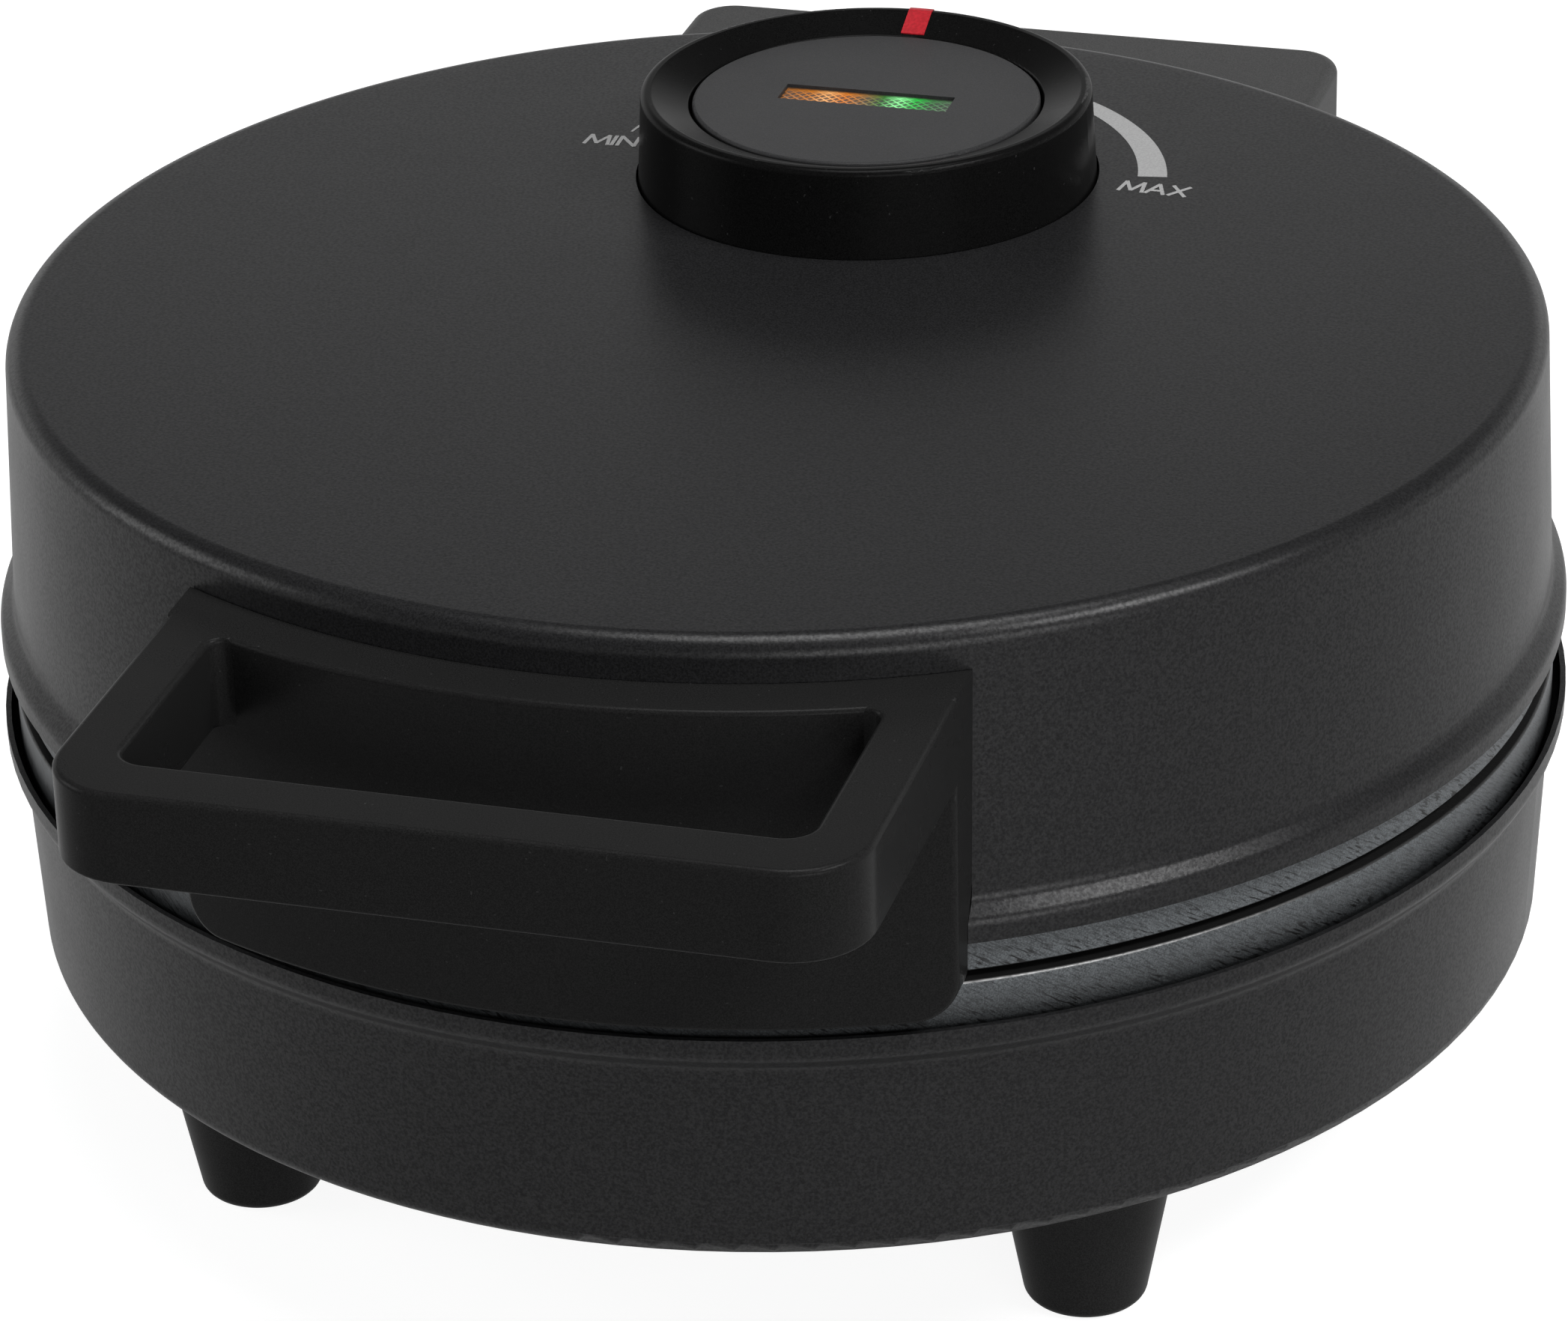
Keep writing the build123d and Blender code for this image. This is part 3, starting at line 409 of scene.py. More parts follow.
# strength of the window's painted glow, which stands in for the lamps' light passing through it
painted_glow_strength = 1.1
stops = [
    (0.0, (0.28, 0.10, 0.02, 1)),
    (0.16, (0.54, 0.17, 0.012, 1)),
    (0.26, (0.90, 0.42, 0.14, 1)),
    (0.36, (0.72, 0.20, 0.015, 1)),
    (0.50, (0.24, 0.15, 0.05, 1)),
    (0.59, (0.04, 0.20, 0.03, 1)),
    (0.69, (0.30, 1.0, 0.36, 1)),
    (0.78, (0.02, 0.55, 0.06, 1)),
    (0.88, (0.05, 0.20, 0.06, 1)),
    (1.0, (0.09, 0.15, 0.09, 1)),
]
window = start_finish(
    "lens_clear",
    Roughness=0.2,
    Coat_Weight=0.25,
    Coat_Roughness=0.08,
    IOR=1.3,
    Emission_Strength=painted_glow_strength,
)
spots = add(window, "SeparateXYZ", {"Vector": add(window, "TexCoord").outputs["Object"]}).outputs
along = between(window, spots["X"], 0, 1, -window_half_length, window_half_length)
ramp = add(window, "ValToRGB", {"Fac": along})
colours = ramp.color_ramp.elements
colours[0].position, colours[0].color = stops[0]
colours[1].position, colours[1].color = stops[-1]
for position, colour in stops[1:-1]:
    colours.new(position).color = colour
print("colours along the window:", len(colours))

# %% [markdown]
# The diamonds are worked out from two sets of slanting lines. At the back of the window a clear
# band has no diamonds and glows evenly, and a painted shade stands for the cap's shadow over its
# last few tenths of a millimetre.

# %% Diamonds of the window
line_pitch, line_slope = 1.55 * mm, 1.05
line_core, line_border, line_depth = 0.05 * mm, 0.35 * mm, 0.04 * mm
clear_start, clear_stop, clear_level = 0.62, 0.80, 0.7
shade_start, shade_stop, shade_level = 0.86, 0.97, 0.15
level_between_lines = 0.12
dim_glass = (0.012, 0.012, 0.010, 1)
dark_glass, darkness = grey(0.005), 0.85


def slanted_lines(finish, slope):
    """Bright where x + slope y comes near a whole number of pitches."""
    leaning = sums(finish, "MULTIPLY_ADD", spots["Y"], slope, spots["X"])
    waves = sums(finish, "PINGPONG", leaning, line_pitch / 2)
    return between(finish, waves, 1, 0, line_core, line_border)


window_axis = dial_axis[1] * mm
front_edge, back_edge = window_axis - window_half_width, window_axis + window_half_width
across = between(window, spots["Y"], 0, 1, front_edge, back_edge)
lattice = sums(
    window, "MAXIMUM", slanted_lines(window, line_slope), slanted_lines(window, -line_slope)
)
clear_band_glow = between(window, across, 0.0, clear_level, clear_start, clear_stop)
# painted shade: the back edge of the window is darkened as if in the shadow of the cap's edge
painted_cap_shadow = between(window, across, 1.0, shade_level, shade_start, shade_stop)
pattern = between(window, lattice, level_between_lines, 1.0, 0, 1)
painted_brightness = sums(window, "MAXIMUM", pattern, clear_band_glow)
level = sums(window, "MULTIPLY", painted_brightness, painted_cap_shadow)
# painted light: the window glows by itself in the colours of the lamps under it
painted_glow = blend(window, level, dim_glass, ramp.outputs["Color"])
join(
    window,
    Base_Color=blend(window, darkness, painted_glow, dark_glass),
    Emission_Color=painted_glow,
    Normal=raised(window, lattice, line_depth),
)
print("window finish has", len(window.node_tree.nodes), "nodes")

# %% [markdown]
# Every solid now gets the finish of its slot. The ones inside are dressed too, because the lid
# opens and because a part of a library is taken apart by others.

# %% Dress every solid
finish_of_slot = {
    "powder_coat": powder_coat,
    "housing_plastic": housing_plastic,
    "nonstick_cast": cast,
    "heater_steel": heater_steel,
    "aluminised_sheet": aluminised_sheet,
    "plated_steel": plated_steel,
    "handle_plastic": handle_plastic,
    "foot_plastic": foot_plastic,
    "gland_plastic": gland_plastic,
    "dial_plastic": dial_plastic,
    "cap_plastic": cap_plastic,
    "pointer_red": pointer_red,
    "ceramic": ceramic,
    "column_plastic": column_plastic,
    "lens_clear": window,
    "lamp_orange": lamp_orange,
    "lamp_green": lamp_green,
}
for part in frame["record"]["subparts"]:
    solid = frame["nodes"][part["node"]]
    solid.data.materials.clear()
    solid.data.materials.append(finish_of_slot[part["material_slot"]])

# %% [markdown]
# ## Surfaces from numbers
# Pressed, turned and moulded pieces are all a profile carried along a path. The profile is drawn
# once, as corners with a radius each, because a real edge is never sharp: a press, a lathe or a
# mould always leaves a small round, and that round is what catches the light.

# %% A profile with rounded corners


def rounded(corners, steps=8):
    """Points of an open line through corners (across, up, radius). Each corner's arc starts at
    radius / tan(half its angle) from it, and turns about a centre on its bisector."""
    points = np.array([corner[:2] for corner in corners], float)
    pieces = [points[:1]]
    for before, here, after, corner in zip(points, points[1:], points[2:], corners[1:]):
        back, ahead = ((end - here) / np.linalg.norm(end - here) for end in (before, after))
        half = np.arccos(np.clip(back @ ahead, -1, 1)) / 2
        bisector = (back + ahead) / np.linalg.norm(back + ahead)
        centre = here + bisector * corner[2] / np.sin(half)
        start, stop = (here + side * corner[2] / np.tan(half) - centre for side in (back, ahead))
        turn = np.pi - 2 * half
        share = np.linspace(0, 1, steps + 1)[:, None]
        arc = (np.sin((1 - share) * turn) * start + np.sin(share * turn) * stop) / np.sin(turn)
        pieces.append(centre + arc)
    return np.concatenate(pieces + [points[-1:]])


print("a rounded right angle has", len(rounded([(0, 0), (1, 0, 0.2), (1, 1)])), "points")

# %% [markdown]
# A grid of points becomes a mesh when each little square of four neighbours becomes a face. The
# faces must look outwards, and the sign of the enclosed volume tells whether they do. Rows that
# shrink to a point are merged afterwards, so the mesh is closed there too.

# %% A mesh from a grid of points
edge_angle = np.radians(38)
same_place = 1e-7


def enclosed(points, quads):
    """Signed volume: corner . (corner x corner) / 6, summed over two triangles a square."""
    first, second, third, fourth = (points[quads[:, k]] for k in range(4))
    near = np.einsum("ij,ij->i", first, np.cross(second, third)).sum()
    return (near + np.einsum("ij,ij->i", first, np.cross(third, fourth)).sum()) / 6


def lengths(grid, axis):
    """Distance travelled down the rows or over the columns, where that is longest."""
    closed = np.diff(grid, axis=axis, append=np.take(grid, [0], axis=axis))
    steps = np.linalg.norm(closed, axis=2).max(axis=1 - axis)
    return np.concatenate([[0], np.cumsum(steps)])


def surface(name, grid, closed_rows=False):
    """Mesh over grid[row, column] in metres; its columns close into a ring. Its UV map is in
    metres too: over the columns, then down the rows."""
    rows, columns = grid.shape[:2]
    last_row = rows - (not closed_rows)
    row, column = np.meshgrid(np.arange(last_row), np.arange(columns), indexing="ij")
    down = np.stack([row, row, row + 1, row + 1], -1).reshape(-1, 4)
    over = np.stack([column, column + 1, column + 1, column], -1).reshape(-1, 4)
    quads = (down % rows) * columns + over % columns
    uv = np.stack([lengths(grid, 1)[over], lengths(grid, 0)[down]], -1)
    points = grid.reshape(-1, 3)
    if enclosed(points, quads) < 0:
        quads, uv = quads[:, ::-1], uv[:, ::-1]
    mesh = bpy.data.meshes.new(name)
    mesh.vertices.add(len(points))
    mesh.vertices.foreach_set("co", points.ravel())
    mesh.loops.add(quads.size)
    mesh.loops.foreach_set("vertex_index", quads.ravel().astype(np.int32))
    mesh.polygons.add(len(quads))
    mesh.polygons.foreach_set("loop_start", np.arange(0, quads.size, 4, dtype=np.int32))
    edge_map = mesh.uv_layers.new(name="along_and_across").uv
    edge_map.foreach_set("vector", uv.ravel().astype(np.float32))
    mesh.update(calc_edges=True)
    welded = bmesh.new()
    welded.from_mesh(mesh)
    bmesh.ops.remove_doubles(welded, verts=welded.verts, dist=same_place)
    welded.to_mesh(mesh)
    welded.free()
    mesh.polygons.foreach_set("use_smooth", np.ones(len(mesh.polygons), bool))
    mesh.set_sharp_from_angle(angle=edge_angle)
    return mesh


print("edges sharper than", round(np.degrees(edge_angle)), "degrees stay sharp")

# %% [markdown]
# A mesh becomes a piece of the model when it rides on a body and has a finish. A turned piece is
# the simplest grid: the rows follow the profile and the columns go round.

# %% Pieces and turned grids


def piece_of(name, mesh, body, finish):
    """Object for a mesh, riding on a body; the modifier keeps its flat faces flat in the light."""
    piece = bpy.data.objects.new(name, mesh)
    bpy.context.scene.collection.objects.link(piece)
    mesh.materials.append(finish)
    piece.modifiers.new("flat_faces_stay_flat", "WEIGHTED_NORMAL").keep_sharp = True
    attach(piece, body)
    print(name, len(mesh.polygons), "faces")
    return piece


def turned(profile, axis, count=240, shifts=0.0, towards=(0.0, 0.0)):
    """Profile points (radius, height) turned about an upright axis. Where a row's shift is 1 its
    circle is centred on another axis, and between 0 and 1 its centre lies between the two."""
    angle = np.linspace(0, 2 * np.pi, count, endpoint=False)
    ring = np.stack([np.cos(angle), np.sin(angle)], -1)
    shift = np.broadcast_to(np.asarray(shifts, float), len(profile))[:, None]
    centre = (1 - shift) * np.asarray(axis) + shift * np.asarray(towards)
    flat = centre[:, None, :] + profile[:, :1, None] * ring[None]
    height = np.broadcast_to(profile[:, 1][:, None, None], (*flat.shape[:2], 1))
    return np.concatenate([flat, height], -1) * mm


print("a turned grid of 2 points has shape", turned(np.array([(1, 0), (1, 1)]), (0, 0)).shape)

# %% [markdown]
# ## The lid
# The lid is one sheet of steel, drawn in a press: a flat top, a soft shoulder, a wall that leans
# out a little and a rim that steps out over the upper plate. Its profile is simple, but the hole
# for the dial isn't in the middle. So the rows of the top slide, from circles about the dial's
# axis at the hole to circles about the body's axis at the shoulder, and no cut is needed.

# %% Profile of the lid
sheet = 0.8
hole_radius = 35.4
wall_head = lid_lip - 3.9
step_out = 2.2
band_height, step_height = 3.0, 5.6
inner_drop = 0.2
shoulder, bend = 3.0, 2.5
outer = rounded(
    [
        (hole_radius, lid_top),
        (wall_head, lid_top, shoulder),
        (lid_lip - step_out, lid_rim + step_height, bend),
        (lid_lip, lid_rim + band_height, bend),
        (lid_lip, lid_rim),
    ],
    steps=10,
)
inner = rounded(
    [
        (lid_lip - sheet, lid_rim),
        (lid_lip - sheet, lid_rim + band_height - inner_drop, bend - sheet),
        (lid_lip - step_out - sheet, lid_rim + step_height - inner_drop, bend + sheet),
        (wall_head - sheet, lid_top - sheet, shoulder - sheet),
        (hole_radius, lid_top - sheet),
    ],
    steps=6,
)
steps_across = np.linspace(0, 1, 14)[1:-1, None]
top_rows = outer[0] + (outer[1] - outer[0]) * steps_across
under_rows = inner[-2] + (inner[-1] - inner[-2]) * steps_across
lid_profile = np.concatenate([outer[:1], top_rows, outer[1:], inner[:-1], under_rows, inner[-1:]])
print("points round the lid's section:", len(lid_profile))

# %% [markdown]
# The share by which a row slides is 1 at the dial's hole and falls to 0 where the shoulder starts.

# %% Press the lid
flat_radius = wall_head - 3.2
slide = np.clip((flat_radius - lid_profile[:, 0]) / (flat_radius - hole_radius), 0, 1)
lid_grid = turned(lid_profile, body_axis, 320, slide, dial_axis)
lid_mesh = surface("pressed_lid", lid_grid, closed_rows=True)
pressed_lid = piece_of("pressed_lid", lid_mesh, "lid", powder_coat)
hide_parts("lid_shell")

# %% [markdown]
# ## The cooking plates
# The plates are cast aluminium. Their edges were turned on a lathe before the dark non-stick coat
# was sprayed on, and the fine slanted tool marks still show through it in the gap under the lid.
# Turning the full profile gives the edge its own map in metres, which the marks can follow.

# %% Profile of a plate
plate_wall = 4.8
recess = 4.6
cooking_radius = 100.0
plate_rim = 104.8
lower_flange, upper_flange = 58.99, 76.41


def plate_profile(face, flange, edge, rise):
    """Closed profile from the middle of the cooking face, out, round the edge and back."""
    depth = face - rise * recess
    back = depth - rise * plate_wall
    corners = [
        (0.0, depth),
        (cooking_radius - recess / 4, depth, 3.0),
        (cooking_radius + recess / 4, face, 0.5),
        (edge, face, 0.4),
        (edge, flange, 0.35),
        (plate_rim, flange, 0.3),
        (plate_rim, back + rise * plate_wall / 2, 1.5),
        (plate_rim - 2 * plate_wall, back, 3.0),
        (0.0, back),
    ]
    return rounded(corners, steps=5)


print("recess of", recess, "mm in a plate with a wall of", plate_wall, "mm")

# %% [markdown]
# Each point of a mesh then gets the four values that the finish asks for. They follow from the
# point's radius and height alone.

# %% Turn the plates
base_rim = reach("base_shell")[1][2]
worn_width, worn_height = 0.39, 0.25
band_depth = 0.05
groove_shade_start = 0.25

for node, rise, flange, body in (
    ("lower_plate", 1, lower_flange, "base"),
    ("upper_plate", -1, upper_flange, "lid"),
):
    low, high, _ = reach(node)
    face = high[2] if rise > 0 else low[2]
    edge = high[0]
    grid = turned(plate_profile(face, flange, edge, rise), body_axis, 320)
    mesh = surface(node + "_turned", grid)
    points = np.empty(len(mesh.vertices) * 3)
    mesh.vertices.foreach_get("co", points)
    points = points.reshape(-1, 3) / mm
    radius = np.hypot(points[:, 0], points[:, 1] - body_axis[1])
    upper_end, lower_end = (face, base_rim) if rise > 0 else (flange, face)
    lower_down = (upper_end - points[:, 2]) / (upper_end - lower_end)
    labels = {
        "bare": (rise > 0) & (radius > edge - worn_width) & (points[:, 2] > face - worn_height),
        "lower_down": lower_down,
        "turned_edge": radius > edge - band_depth,
        # painted shade at the foot of the lower plate's band, deep in the groove under the base's
        # rim
        "groove_shade": np.clip((lower_down - groove_shade_start) / (1 - groove_shade_start), 0, 1) * (rise > 0),
    }
    for label, values in labels.items():
        mark = mesh.attributes.new(label, "FLOAT", "POINT")
        mark.data.foreach_set("value", values.astype(np.float32))
    plate = piece_of(node + "_turned", mesh, body, cast)
    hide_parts(node)

# %% [markdown]
# ## The handle
# The handle is one moulding: a curved apron that hides the lid's rim, and a flat loop for the
# fingers. The loop is a rounded bar whose inner and outer outlines differ: the inner corners turn
# on 4 mm, the outer ones on 11 mm, and at the apron the inner side flares out in a small fillet.

# %% Outlines of the loop
handle_low, handle_high, _ = reach("handle")
half_handle = handle_high[0]
handle_top = handle_high[2]
front = body_axis[1] - handle_low[1]
grip_under = handle_top - 13.1
arm, bar = 8.3, 9.2
inner_turn, outer_turn = 4.0, 11.0
apron_radius = 120.6
flare = 2.0
sunk_shares = (0.965, 0.975)
sunk_depths = (15.5, 14.5)
flare_from, flare_to = 14.2, 6.0


def arc(centre, radius, start, stop, count):
    """Points on an arc, from one direction in degrees to another."""
    angle = np.radians(np.linspace(start, stop, count))
    return np.asarray(centre) + radius * np.stack([np.cos(angle), np.sin(angle)], -1)


def run(start, stop, count):
    """Points on a straight line, without its ends."""
    share = np.linspace(0, 1, count + 2)[1:-1, None]
    return np.asarray(start) + (np.asarray(stop) - start) * share


opening = half_handle - arm
flare_x = opening - flare
flare_y = np.sqrt((apron_radius + flare) ** 2 - flare_x**2)
lean_of_flare = np.degrees(np.arctan2(flare_x, flare_y))
inner_corner = (inner_turn - opening, bar + inner_turn - front)
outer_corner = (outer_turn - half_handle, outer_turn - front)
inside = np.concatenate(
    [
        [(-flare_x * share, -flare_y * share) for share in sunk_shares],
        arc((-flare_x, -flare_y), flare, 90 - lean_of_flare, 180, 7),
        run((-opening, -flare_y), (-opening, inner_corner[1]), 8),
        arc(inner_corner, inner_turn, 180, 270, 13),
    ]
)
root = -apron_radius
outside = np.concatenate(
    [
        [(-half_handle, root + depth) for depth in sunk_depths],
        run((-half_handle, root + flare_from), (-half_handle, root + flare_to), 7),
        run((-half_handle, root + flare_to), (-half_handle, outer_corner[1]), 8),
        arc(outer_corner, outer_turn, 180, 270, 13),
    ]
)
middle = np.linspace(0, 1, 12)[1:-1, None]
mirror = np.array([-1.0, 1.0])
inside, outside = (
    np.concatenate([half, half[-1] + (half[-1] * mirror - half[-1]) * middle, half[::-1] * mirror])
    for half in (inside, outside)
)
print("opening", round(2 * opening, 1), "mm wide, outlines of", len(inside), "points")

# %% [markdown]
# The bar's section is drawn as if it were 10 mm wide. It is then laid between the two outlines,
# point by point, and its far half is moved out until the width is right at each place.

# %% Loop of the handle
drawn_width = 10
top_round, under_round = 0.9, 0.6
section = rounded(
    [
        (drawn_width / 2, grip_under),
        (0, grip_under, under_round),
        (0, handle_top, top_round),
        (drawn_width, handle_top, top_round),
        (drawn_width, grip_under, under_round),
        (drawn_width / 2, grip_under),
    ],
    steps=6,
)[:-1]
halfway = section[:, 0] == drawn_width / 2
far_side = np.where(halfway, 0.5, section[:, 0] > drawn_width / 2)
from_side = section[:, 0] - drawn_width * far_side
width = np.linalg.norm(inside - outside, axis=1)
across_bar = (inside - outside) / width[:, None]
offset = from_side[None] + far_side[None] * width[:, None]
flat = outside[:, None] + across_bar[:, None] * offset[..., None] + body_axis
height = np.broadcast_to(section[:, 1][None, :, None], (*offset.shape, 1))
loop = np.concatenate([flat, height], -1)
ends = loop[[0, -1]].mean(axis=1, keepdims=True) + 0 * loop[[0, -1]]
loop = np.concatenate([ends[:1], loop, ends[1:]]) * mm
print("loop of", loop.shape[0], "sections with", loop.shape[1], "points each")

# %% [markdown]
# The apron is a curved plate. Its outline, a rectangle with rounded lower corners, is drawn flat
# and then bent: each point's depth is where a cylinder about the body's axis passes.

# %% Outline of the apron
apron_low = handle_low[2]
corner = 5.5
inside_loop = 0.01
half_apron = half_handle - inside_loop
apron_top = handle_top - inside_loop
middle_height = 90.0
behind_wall = 0.25
wall_heights = [74.0, 76.5, 79.5, lid_top]
wall_radii = [lid_lip, lid_lip, lid_lip - step_out, wall_head]
columns_flat = np.linspace(-1, 1, 41)[1:-1]
side_share = np.linspace(0, 1, 24)[1:-1]


def apron_outline(inset):
    """Closed outline (x, z), moved in by inset: top, right side, bottom, left side."""
    turn = np.radians(np.linspace(0, 90, 9))
    bend = corner - inset
    straight = columns_flat[columns_flat >= 0] * (half_apron - corner)
    low_half = np.concatenate([straight, half_apron - corner + bend * np.sin(turn)])
    drop = bend * np.concatenate([np.ones(len(straight)), np.cos(turn)])
    low_z = apron_low + corner - drop
    x = np.concatenate([-low_half[:0:-1], low_half])
    bottom = np.concatenate([low_z[:0:-1], low_z])
    top = np.full(len(x), apron_top - inset)
    side = bottom[-1] + (top[-1] - bottom[-1]) * side_share
    right_side = np.stack([np.full(len(side), x[-1]), side[::-1]], -1)
    top_line, bottom_line = np.stack([x, top], -1), np.stack([x, bottom], -1)[::-1]
    return np.concatenate([top_line, right_side, bottom_line, right_side[::-1] * mirror])


def apron_row(inset, depth, back=False, spread=1.0):
    """Outline bent to the apron's face, or to the lid's wall, and drawn in towards mid height:
    y = depth - sqrt(radius^2 - x^2)."""
    x, z = apron_outline(inset).T
    z = middle_height + (z - middle_height) * spread
    wall = np.interp(z, wall_heights, wall_radii) + behind_wall
    radius = np.where(back, wall, apron_radius)
    y = depth - np.sqrt(radius**2 - x**2)
    return np.stack([x, y + body_axis[1], z], -1)


print("points round the apron:", len(apron_outline(0)))

# %% [markdown]
# Rows of the outline that shrink to the middle line fill the front and the back, and a few rows
# with a small inset round the edge between them.

# %% Make the handle
edge_round = 0.8
turn = np.radians(np.linspace(0, 90, 7))
rows = [apron_row(edge_round, 0, spread=share) for share in (0.0, 0.5)]
rows += [apron_row(edge_round * (1 - np.sin(a)), edge_round * (1 - np.cos(a))) for a in turn]
rows += [apron_row(0, 0, back=True, spread=share) for share in (1.0, 0.85, 0.7, 0.5, 0.25, 0.0)]
apron = np.stack(rows) * mm
for name, grid in (("handle_loop", loop), ("handle_apron", apron)):
    piece = piece_of(name, surface(name, grid), "lid", handle_plastic)
    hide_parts("handle")

# %% [markdown]
# ## The feet
# Each foot is a tapered plastic sleeve, screwed up from below through its hollow. Its tip is well
# rounded, because it stands on the worktop and mustn't scratch it.

# %% Turn the feet
screw_hole, hollow, tip = 2.15, 5.0, 8.6
shelf = 6.0
tip_round = 2.0
head_wall = 1.0

for place in ("front_left", "front_right", "rear_left", "rear_right"):
    node = "foot_" + place
    low, high, centre = reach(node)
    head = high[0] - centre[0]
    foot_profile = rounded(
        [
            (screw_hole, high[2]),
            (screw_hole, high[2] - shelf, 0.1),
            (hollow, high[2] - shelf, 0.4),
            (hollow, low[2], 0.5),
            (tip, low[2], tip_round),
            (head, high[2], 0.2),
            (head - head_wall, high[2]),
        ],
        steps=6,
    )
    mesh = surface(node + "_moulded", turned(foot_profile, centre[:2], 96), closed_rows=True)
    foot = piece_of(node + "_moulded", mesh, "base", foot_plastic)
    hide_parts(node)

# %% [markdown]
# ## The printed scale
# Round the dial a band of grey ink grows from a thin line at MIN to its full width at MAX, and the
# two words stand at its ends. Ink is about a hundredth of a millimetre thick: a closed skin that
# thin would be lost in rounding, so it is drawn a little thicker, with its foot inside the coat.

# %% Ink
ink = start_finish("scale_ink", Roughness=0.55)
ink_grain = between(ink, grain(ink, 0.3 * mm), 0, 1)
join(ink, Base_Color=blend(ink, ink_grain, grey(0.29), grey(0.38)))
skin_low, skin_high = lid_top - 0.02, lid_top + 0.03
band_start, band_stop, band_points = -79.8, 81.0, 160
band_radius, band_drift = 40.3, 1.0
width_places, widths = [0, 0.8, 1.0], [0.4, 3.5, 4.5]


def straight_back(angle):
    """Direction about the dial's axis, from straight back towards the right."""
    return np.stack([np.sin(angle), np.cos(angle)], -1)


def band_line(radius, height):
    """Points at radius + axis, one for each angle, all at one height."""
    place = dial_axis + radius[:, None] * straight_back(angles)
    return np.concatenate([place, np.full((band_points, 1), height)], -1)


angles = np.radians(np.linspace(band_start, band_stop, band_points))
share = (angles - angles[0]) / (angles[-1] - angles[0])
inner_edge = band_radius + band_drift * share
outer_edge = inner_edge + np.interp(share, width_places, widths)
corners = [
    (outer_edge, skin_low),
    (outer_edge, skin_high),
    (inner_edge, skin_high),
    (inner_edge, skin_low),
]
band = np.stack([band_line(radius, height) for radius, height in corners], axis=1)
caps = band[[0, -1]].mean(axis=1, keepdims=True) + 0 * band[[0, -1]]
band = np.concatenate([caps[:1], band, caps[1:]]) * mm
piece_of("scale_band", surface("scale_band", band), "lid", ink)

# %% [markdown]
# The letters are plain strokes of one width, so each stroke is a thin bar between two points.
# Strokes of a letter cross, so each lies a hair higher than the one before.

# %% Letters
stroke = 0.6
overrun = 0.2
letter_height = 3.75
hair = 0.002
shapes = {
    "M": [
        ((0, 0), (0.12, 1)),
        ((0.12, 1), (0.5, 0.12)),
        ((0.5, 0.12), (0.88, 1)),
        ((0.88, 1), (1, 0)),
    ],
    "I": [((0.5, 0), (0.5, 1))],
    "N": [((0.08, 0), (0.08, 1)), ((0.08, 1), (0.92, 0)), ((0.92, 0), (0.92, 1))],
    "A": [((0, 0), (0.5, 1)), ((0.5, 1), (1, 0)), ((0.2, 0.33), (0.8, 0.33))],
    "X": [((0.02, 0), (0.98, 1)), ((0.02, 1), (0.98, 0))],
}
words = {
    "min": ((-45.7, 1.0), 2.5, [("M", 0.0, 3.7), ("I", 4.0, 0.7), ("N", 5.0, 3.2)]),
    "max": ((39.1, 0.6), -3.0, [("M", 0.0, 3.65), ("A", 4.2, 2.8), ("X", 7.7, 2.7)]),
}
box = np.array([(0, 3, 2, 1), (4, 5, 6, 7), (0, 1, 5, 4), (1, 2, 6, 5), (2, 3, 7, 6), (3, 0, 4, 7)])


def word_mesh(name, start, tilt, letters):
    """Bars of one width along each stroke: its ends moved out to both sides by half the width."""
    strokes = np.array(
        [
            [(left + p[0] * wide, p[1] * letter_height), (left + q[0] * wide, q[1] * letter_height)]
            for letter, left, wide in letters
            for p, q in shapes[letter]
        ]
    )
    turn = np.radians(tilt)
    spin = np.array([[np.cos(turn), np.sin(turn)], [-np.sin(turn), np.cos(turn)]])
    strokes = strokes @ spin + np.array(start) + dial_axis
    first, last = strokes[:, 0], strokes[:, 1]
    ahead = (last - first) / np.linalg.norm(last - first, axis=1, keepdims=True)
    side = np.stack([-ahead[:, 1], ahead[:, 0]], -1) * stroke / 2
    past = ahead * stroke * overrun
    outline = [first - side - past, last - side + past, last + side + past, first + side - past]
    plan = np.stack(outline, axis=1)
    lift = np.arange(len(plan))[:, None, None] * hair
    low = np.concatenate([plan, np.full((len(plan), 4, 1), skin_low) + lift], -1)
    high = np.concatenate([plan, np.full((len(plan), 4, 1), skin_high) + lift], -1)
    points = np.concatenate([low, high], 1).reshape(-1, 3) * mm
    faces = (np.arange(len(plan))[:, None, None] * 8 + box).reshape(-1, 4)
    mesh = bpy.data.meshes.new(name)
    mesh.from_pydata(points.tolist(), [], faces.tolist())
    return mesh


for word, (start, tilt, letters) in words.items():
    name = "scale_" + word
    piece_of(name, word_mesh(name, start, tilt, letters), "lid", ink)

# %% [markdown]
# ## The studio
# The object stands on a pale floor. The floor gives some light of its own to the camera, so it
# looks white, and less of it to mirroring surfaces, so dark paint doesn't turn pale over it. Its
# own paint still shows the shadow.

# %% Floor
floor_half = 15.0
own_light, mirrored_share = 0.91, 0.44
blotch_size = 0.05
floor_mesh = bpy.data.meshes.new("floor")
floor_corners = np.array([(-1, -1, 0), (1, -1, 0), (1, 1, 0), (-1, 1, 0)]) * floor_half
floor_mesh.from_pydata(floor_corners.tolist(), [], [(0, 1, 2, 3)])
floor = bpy.data.objects.new("floor", floor_mesh)
bpy.context.scene.collection.objects.link(floor)
floor_paint = start_finish("floor_paint", Roughness=0.9, Specular_IOR_Level=0.1)
blotches = grain(floor_paint, blotch_size)
rays = add(floor_paint, "LightPath").outputs
mirrored = sums(floor_paint, "MULTIPLY", rays["Is Glossy Ray"], mirrored_share)
seen = sums(floor_paint, "MAXIMUM", rays["Is Camera Ray"], rays["Is Transmission Ray"])
shown = sums(floor_paint, "MAXIMUM", seen, mirrored)
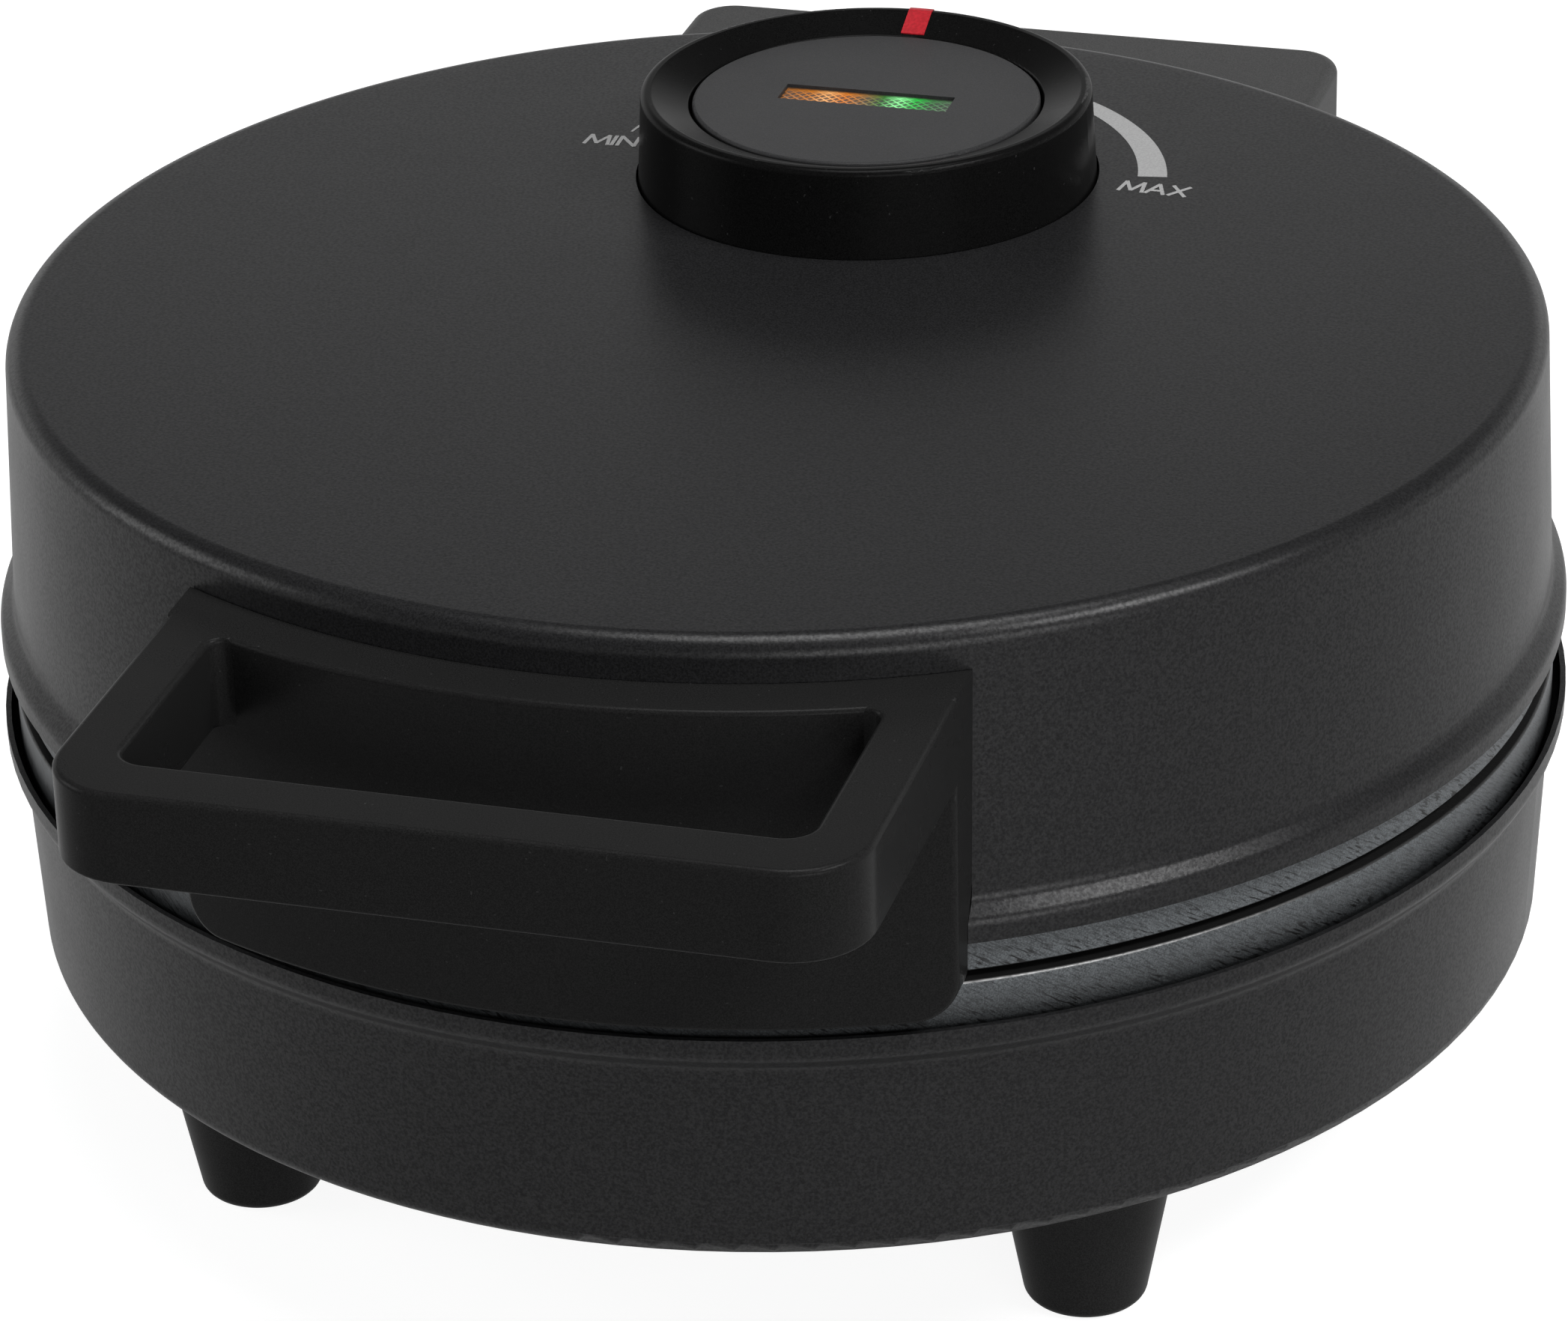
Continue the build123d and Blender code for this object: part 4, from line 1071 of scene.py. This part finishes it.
join(
    floor_paint,
    Base_Color=blend(floor_paint, blotches, grey(0.29), grey(0.31)),
    Emission_Color=blend(floor_paint, blotches, grey(0.99), grey(1.0)),
    Emission_Strength=sums(floor_paint, "MULTIPLY", shown, own_light),
)
floor_mesh.materials.append(floor_paint)
print("floor", 2 * floor_half, "m wide")

# %% [markdown]
# Dark paint shows mostly what it mirrors, and mirrors most at a glance. So the room is light near
# the horizon and dark overhead, and darker in front of the object than behind it: then the walls
# brighten towards their flanks, and the lid darkens towards the viewer.

# %% World
horizon_level, ceiling_level = 0.88, 0.06
front_share = 0.45
fade_start, fade_stop = 0.22, 0.47
front_end, back_end = -0.7, 0.7
world = bpy.data.worlds.new("studio_world")
bpy.context.scene.world = world
world.use_nodes = True
direction = add(world, "TexCoord").outputs["Generated"]
parts = add(world, "SeparateXYZ", {"Vector": direction}).outputs
fade = {"Value": parts["Z"], "From Min": fade_start, "From Max": fade_stop}
fade |= {"To Min": horizon_level, "To Max": ceiling_level}
room = add(world, "MapRange", fade, interpolation_type="SMOOTHSTEP").outputs["Result"]
depth_of_room = between(world, parts["Y"], front_share, 1.0, front_end, back_end)
sky = world.node_tree.nodes["Background"]
strength = sums(world, "MULTIPLY", room, depth_of_room)
world.node_tree.links.new(strength, sky.inputs["Strength"])
sky.inputs["Color"].default_value = (1, 1, 1, 1)
print("world from", horizon_level, "at the horizon to", ceiling_level, "overhead")

# %% [markdown]
# Four soft panels do the rest. The one above draws the light line along the lid's shoulder, the
# one high at the right lights the band of the lid's step, and the left and front ones lift the
# walls that would sink into black.

# %% Light panels
target = np.array([0.0, 0.0, 0.08])


def soft_panel(name, place, width, height, watts):
    """Rectangular lamp that faces the object."""
    panel = bpy.data.lights.new(name, "AREA")
    panel.shape = "RECTANGLE"
    panel.size, panel.size_y, panel.energy = width, height, watts
    lamp = bpy.data.objects.new(name, panel)
    lamp.rotation_euler = Vector(np.array(place) - target).to_track_quat("Z", "Y").to_euler()
    lamp.location = place
    bpy.context.scene.collection.objects.link(lamp)
    print(name, watts, "W")


soft_panel("panel_above", (0.1, 0.0, 1.5), 0.7, 0.7, 13)
soft_panel("panel_right", (0.864, -0.264, 1.015), 0.6, 0.3, 9)
soft_panel("panel_left", (-1.2, -0.3, 0.5), 0.7, 0.6, 4)
soft_panel("panel_front", (0.9, -1.2, 0.35), 1.2, 0.5, 8)
bpy.context.scene.view_settings.view_transform = "Standard"
